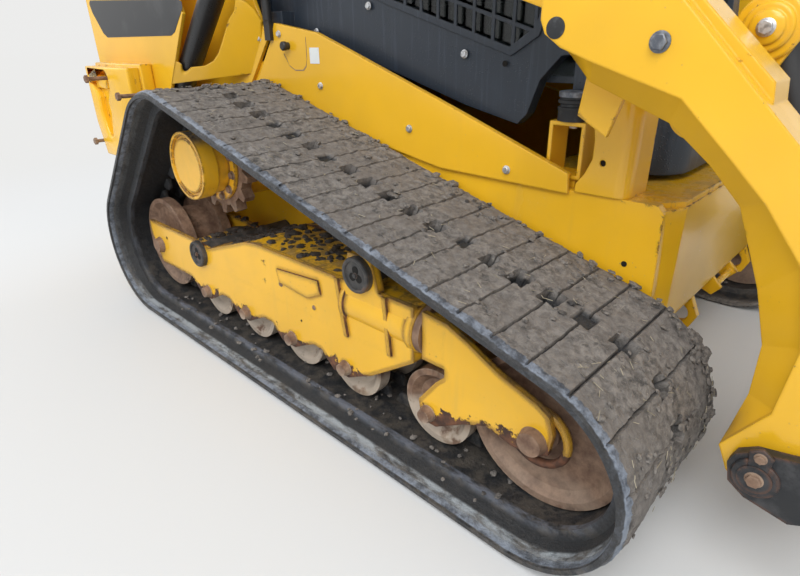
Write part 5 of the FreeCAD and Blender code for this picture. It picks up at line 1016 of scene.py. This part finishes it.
# Cab mounts: ribbed rubber isolators between the brackets and the cab, with a steel washer and bolt on top.
# A bolt holds each one under its bracket's shelf.
mounts, washers, mount_bolts = [], [], []
for x, y, z in ((0.760, -0.485, 0.788), (-0.330, -0.474, 0.930)):
    mounts.append(turned([
        (0.0002, 0.038), (0.020, 0.038), (0.024, 0.0395), (0.030, 0.0395), (0.032, 0.034), (0.037, 0.034),
        (0.039, 0.0395), (0.045, 0.0395), (0.047, 0.036), (0.052, 0.036),
    ], (x, y, z), around=36))
    washers.append(turned([(0.052, 0.0395), (0.0615, 0.0395), (0.0637, 0.037)], (x, y, z), around=36))
    mount_bolts.append(((x, y, z - 0.0095), (0, 0, -1), 0.3, 0.0095))
pair(mounts, "mount_isolators", black_rubber, "chassis", "mount_rubber", "cab_mounts")
pair(washers, "mount_washers", grey_bolt, "chassis", "steel")
pair(spread([hex_bolt], mount_bolts), "mount_bolts", zinc, "chassis", "steel")

# Coupler: black pressed frame with turned pins; its pin ends wear retaining plates and bolts.
# Rust breaks through the black along every edge.
f = Finish("coupler_black")
fine = f.noise(30, 6, 0.7)
colour = f.over((0.014, 0.015, 0.017), (0.045, 0.045, 0.047), fine.rise(0.4, 0.7))
colour = f.over(colour, (0.12, 0.050, 0.024), f.edges(0.012).rise(0.02, 0.25) * fine.rise(0.42, 0.56))
coupler_black = f.done(colour, 0.45 + fine * 0.2, None, f.relief(fine, 0.0012))
wear(coupler_black, "coupler")
keeper = [(1.290, 0.300), (1.318, 0.300), (1.322, 0.340), (1.304, 0.352), (1.286, 0.340)]
pin_ends = [
    turned([(0, 0.036), (0.004, 0.036), (0.006, 0.034)], (1.304, -0.786, 0.290), rightward, 32),
    cut_plate([keeper], -0.7862, -0.7930, 0.002),
]
pair(pin_ends, "coupler_pin_plates", coupler_black, "coupler", "frame_black")
pin_bolts = [
    ((1.304, -0.7930, 0.334), rightward, 0.2, 0.0080),
    ((1.304, -0.7920, 0.290), rightward, 0.6, 0.0120),
]
pair(spread([hex_bolt], pin_bolts), "coupler_pin_bolts", rusty_iron, "coupler", "cast_brown")

# Seat: cushions and backrest in black vinyl over foam, on a steel box, with arm rests on the control pods.
# The box is bolted to the cab's floor.
def cushion(low, high, soft, tilt=0.0, centre=(0, 0, 0)):
    """Stuffed pad: a rounded box, swollen in the middle, leaning back by tilt about centre."""
    piece = block(low, high, soft, 5)
    only(piece)
    bpy.ops.object.mode_set(mode="EDIT")
    bpy.ops.mesh.select_all(action="SELECT")
    bpy.ops.mesh.subdivide(number_cuts=5)
    bpy.ops.object.mode_set(mode="OBJECT")
    middle_at = [(a + b) / 2 for a, b in zip(low, high)]
    half = [(b - a) / 2 for a, b in zip(low, high)]
    for v in piece.data.vertices:
        away = [(v.co[i] - middle_at[i]) / half[i] for i in range(3)]
        for i in range(3):
            others = [away[j] for j in range(3) if j != i]
            swell = max(0.0, 1 - others[0] ** 2) * max(0.0, 1 - others[1] ** 2)
            swollen = math.copysign(0.10 * half[i] * swell * min(1.0, abs(away[i])), away[i])
            v.co[i] += swollen - away[i] * 0.10 * half[i]
    to_centre = Matrix.Translation(centre)
    piece.data.transform(to_centre @ Matrix.Rotation(tilt, 4, "Y") @ Matrix.Translation([-c for c in centre]))
    return piece


f = Finish("seat_vinyl", rough=0.55)
hide = f.cells(260)
colour = f.over((0.016, 0.016, 0.017), (0.04, 0.04, 0.042), f.noise(9, 4).rise(0.45, 0.7))
seat_vinyl = f.done(colour, 0.5 + hide * 0.2, None, f.relief(hide, 0.0006))
pads = (
    ("seat_cushion", (-0.050, -0.240, 1.130), (0.375, 0.240, 1.226), 0.036, 0.0),
    ("seat_bolster_right", (-0.030, -0.250, 1.140), (0.360, -0.185, 1.238), 0.030, 0.0),
    ("seat_bolster_left", (-0.030, 0.185, 1.140), (0.360, 0.250, 1.238), 0.030, 0.0),
    ("seat_backrest", (-0.165, -0.230, 1.236), (-0.060, 0.230, 1.600), 0.045, -0.13),
    ("seat_headrest", (-0.165, -0.150, 1.590), (-0.075, 0.150, 1.720), 0.036, -0.13),
)
for name, low_corner, high_corner, soft, tilt in pads:
    pad = cushion(low_corner, high_corner, soft, tilt, (-0.11, 0, 1.236))
    settle(pad, name, seat_vinyl, "chassis", "seat_vinyl", "seat")
seat_box = [
    block((-0.040, -0.180, 0.8785), (0.300, 0.180, 1.060), 0.010),
    block((-0.020, -0.150, 1.060), (0.280, 0.150, 1.132), 0.006),
    block((-0.060, -0.200, 1.118), (0.340, 0.200, 1.142), 0.006),
    block((-0.195, -0.190, 1.150), (-0.155, 0.190, 1.320), 0.008),
    block((-0.165, -0.200, 1.120), (-0.040, 0.200, 1.150), 0.006),
]
settle(gather(seat_box), "seat_frame", black_coat, "chassis", "frame_black", "seat")

# Control pods: moulded grey plastic consoles beside the seat, each with a joystick in a rubber boot and four
# switches. Arm pads lie on top of them.
f = Finish("pod_plastic")
leather = f.noise(320, 4, 0.6)
colour = f.over((0.020, 0.021, 0.023), (0.048, 0.049, 0.052), f.noise(6, 4).rise(0.4, 0.7))
pod_plastic = f.done(colour, 0.55, None, f.relief(leather, 0.0004))
wear(pod_plastic, "control_pods")
bellows = [(0, 0.052), (0.010, 0.052), (0.018, 0.044), (0.024, 0.047), (0.032, 0.038), (0.038, 0.041),
           (0.048, 0.030), (0.060, 0.024)]
boot = turned(bellows, (0.360, -0.350, 1.289), around=28)
pair(boot, "joystick_boots", black_rubber, "chassis", "mount_rubber")
grip = [(0, 0.0235), (0.020, 0.0235), (0.034, 0.0270), (0.052, 0.0245), (0.070, 0.0275), (0.088, 0.0270),
        (0.100, 0.0200)]
grips = [
    turned(grip, (0.360, -0.350, 1.352), around=28),
    turned([(0, 0.0070), (0.004, 0.0070), (0.006, 0.0050)], (0.366, -0.343, 1.451), around=14),
]
for k in range(4):
    grips.append(block((0.180 + 0.032 * k, -0.352, 1.2895), (0.200 + 0.032 * k, -0.322, 1.2965), 0.003))
pair(grips, "joystick_grips", pod_plastic, "chassis", "pod_plastic")
arm_pad = cushion((-0.080, -0.400, 1.289), (0.140, -0.320, 1.330), 0.014)
pair(arm_pad, "arm_pads", seat_vinyl, "chassis", "seat_vinyl")

# Door handle: an upright pull with a thumb latch on the cab door, in black coated steel.
# Two short feet hold it to the door's frame.
handle = [
    block((0.828, -0.322, 1.180), (0.846, -0.296, 1.340), 0.006),
    block((0.822, -0.325, 1.235), (0.834, -0.293, 1.285), 0.003),
]
for piece_z in (1.192, 1.322):
    handle.append(block((0.812, -0.316, piece_z), (0.834, -0.302, piece_z + 0.014), 0.002))
settle(gather(handle), "door_handle", black_coat, "cab_door", "frame_black")

# Roof lamps and tail lamps: round work lamps in black housings under the roof's brow, and red tail lamps
# over clear reversing lamps on the towers. Their lenses are fluted plastic.
f = Finish("lamp_glass", rough=0.15)
flutes = f.cells(70)
colour = f.over((0.55, 0.56, 0.57), (0.82, 0.83, 0.84), flutes.rise(0.1, 0.5))
lamp_glass = f.done(colour, 0.12, None, f.relief(flutes, 0.0008))
wear(black_coat, "roof_lamps")
lamp_x, lamp_y, lamp_z = 0.750, -0.395, 2.0237
bezel = bead(0.0330, 0.0036, (lamp_x, lamp_y, lamp_z), forward, 32)
pair(bezel, "lamp_bezels", black_coat, "chassis", "frame_black")
lens = turned([(0, 0.0300), (0.002, 0.0290), (0.004, 0.0200)], (lamp_x - 0.0005, lamp_y, lamp_z), forward, 28)
pair(lens, "work_lamp_lenses", lamp_glass, "chassis", "lamp_lens")
f = Finish("red_lens", rough=0.15)
squares = f.cells(120, random=0.0)
colour = f.over((0.30, 0.012, 0.010), (0.48, 0.03, 0.02), squares.rise(0.1, 0.5))
red_lens = f.done(colour, 0.12, None, f.relief(squares, 0.0008))
wear(black_coat, "tail_lamps")
for name, foot, head, clear in (
    ("tail_lenses", 1.030, 1.110, red_lens),
    ("reverse_lenses", 0.970, 1.020, lamp_glass),
):
    square = block((-1.4565, -0.680, foot), (-1.4530, -0.620, head), 0.001)
    pair(square, name, clear, "chassis", "lamp_lens")

# Rear door and hood: pressed steel covers with slots, a pull latch and a lift handle, in the cab's slate coat.
# A mesh screen lies behind the slots; the stack's outlet is rusty at its mouth.
screen_rows = []
for k in range(15):
    screen_rows.append(block((-1.4735, -0.300, 0.742 + 0.0275 * k), (-1.4720, 0.300, 0.744 + 0.0275 * k)))
for k in range(23):
    screen_rows.append(block((-1.4735, -0.2985 + 0.027 * k, 0.738), (-1.4720, -0.2965 + 0.027 * k, 1.132)))
settle(gather(screen_rows), "rear_screen", black_coat, "rear_door", "frame_black")
latch = [
    block((-1.5035, 0.400, 0.905), (-1.4900, 0.480, 1.015), 0.004),
    block((-1.5038, 0.425, 0.930), (-1.4960, 0.455, 0.990), 0.003),
]
settle(gather(latch), "rear_latch", black_coat, "rear_door", "frame_black")
pull_x = -1.330
pull = [
    block((pull_x, -0.062, 1.345), (pull_x + 0.014, -0.048, 1.398), 0.004),
    block((pull_x, 0.048, 1.345), (pull_x + 0.014, 0.062, 1.398), 0.004),
    block((pull_x, -0.062, 1.390), (pull_x + 0.014, 0.062, 1.404), 0.005),
]
settle(gather(pull), "hood_pull", black_coat, "hood", "frame_black")
f = Finish("burnt_pipe", rough=0.5, metal=0.6)
soot = f.noise(24, 6, 0.7)
colour = f.over((0.30, 0.26, 0.22), (0.13, 0.06, 0.035), soot.rise(0.42, 0.6))
wear(f.done(f.over(colour, (0.02, 0.02, 0.02), f.z.rise(1.555, 1.575)), 0.45 + soot * 0.3), "exhaust_outlet")
f = Finish("engine_paint", rough=0.5)
grease = f.noise(12, 6, 0.7)
colour = f.over((0.05, 0.052, 0.055), (0.12, 0.09, 0.06), grease.rise(0.5, 0.7))
wear(f.done(colour, 0.45 + grease * 0.3, None, f.relief(grease, 0.003)), "engine")
f = Finish("cooler_core", rough=0.55, metal=0.3)
fins = f.noise(40, 3, 0.5, 0, (0.4, 8.0, 0.4))
colour = f.over((0.03, 0.032, 0.034), (0.11, 0.115, 0.12), fins.rise(0.4, 0.6))
wear(f.done(colour, 0.5, None, f.relief(fins, 0.001)), "cooler")

# Cylinders: steel barrels in black enamel with hard-chromed rods, two that lift and two that tilt.
# Pins hold them between the towers, the arms and the coupler.
cylinder_black = slate_coat("cylinder_black", (0.013, 0.013, 0.014), 0.38, 0.3)
wear(cylinder_black, "lift_barrels", "tilt_barrels")
chrome = Finish("hard_chrome", rough=0.12, metal=1.0)
wear(chrome.done((0.75, 0.75, 0.76)), "lift_rods", "tilt_rods")
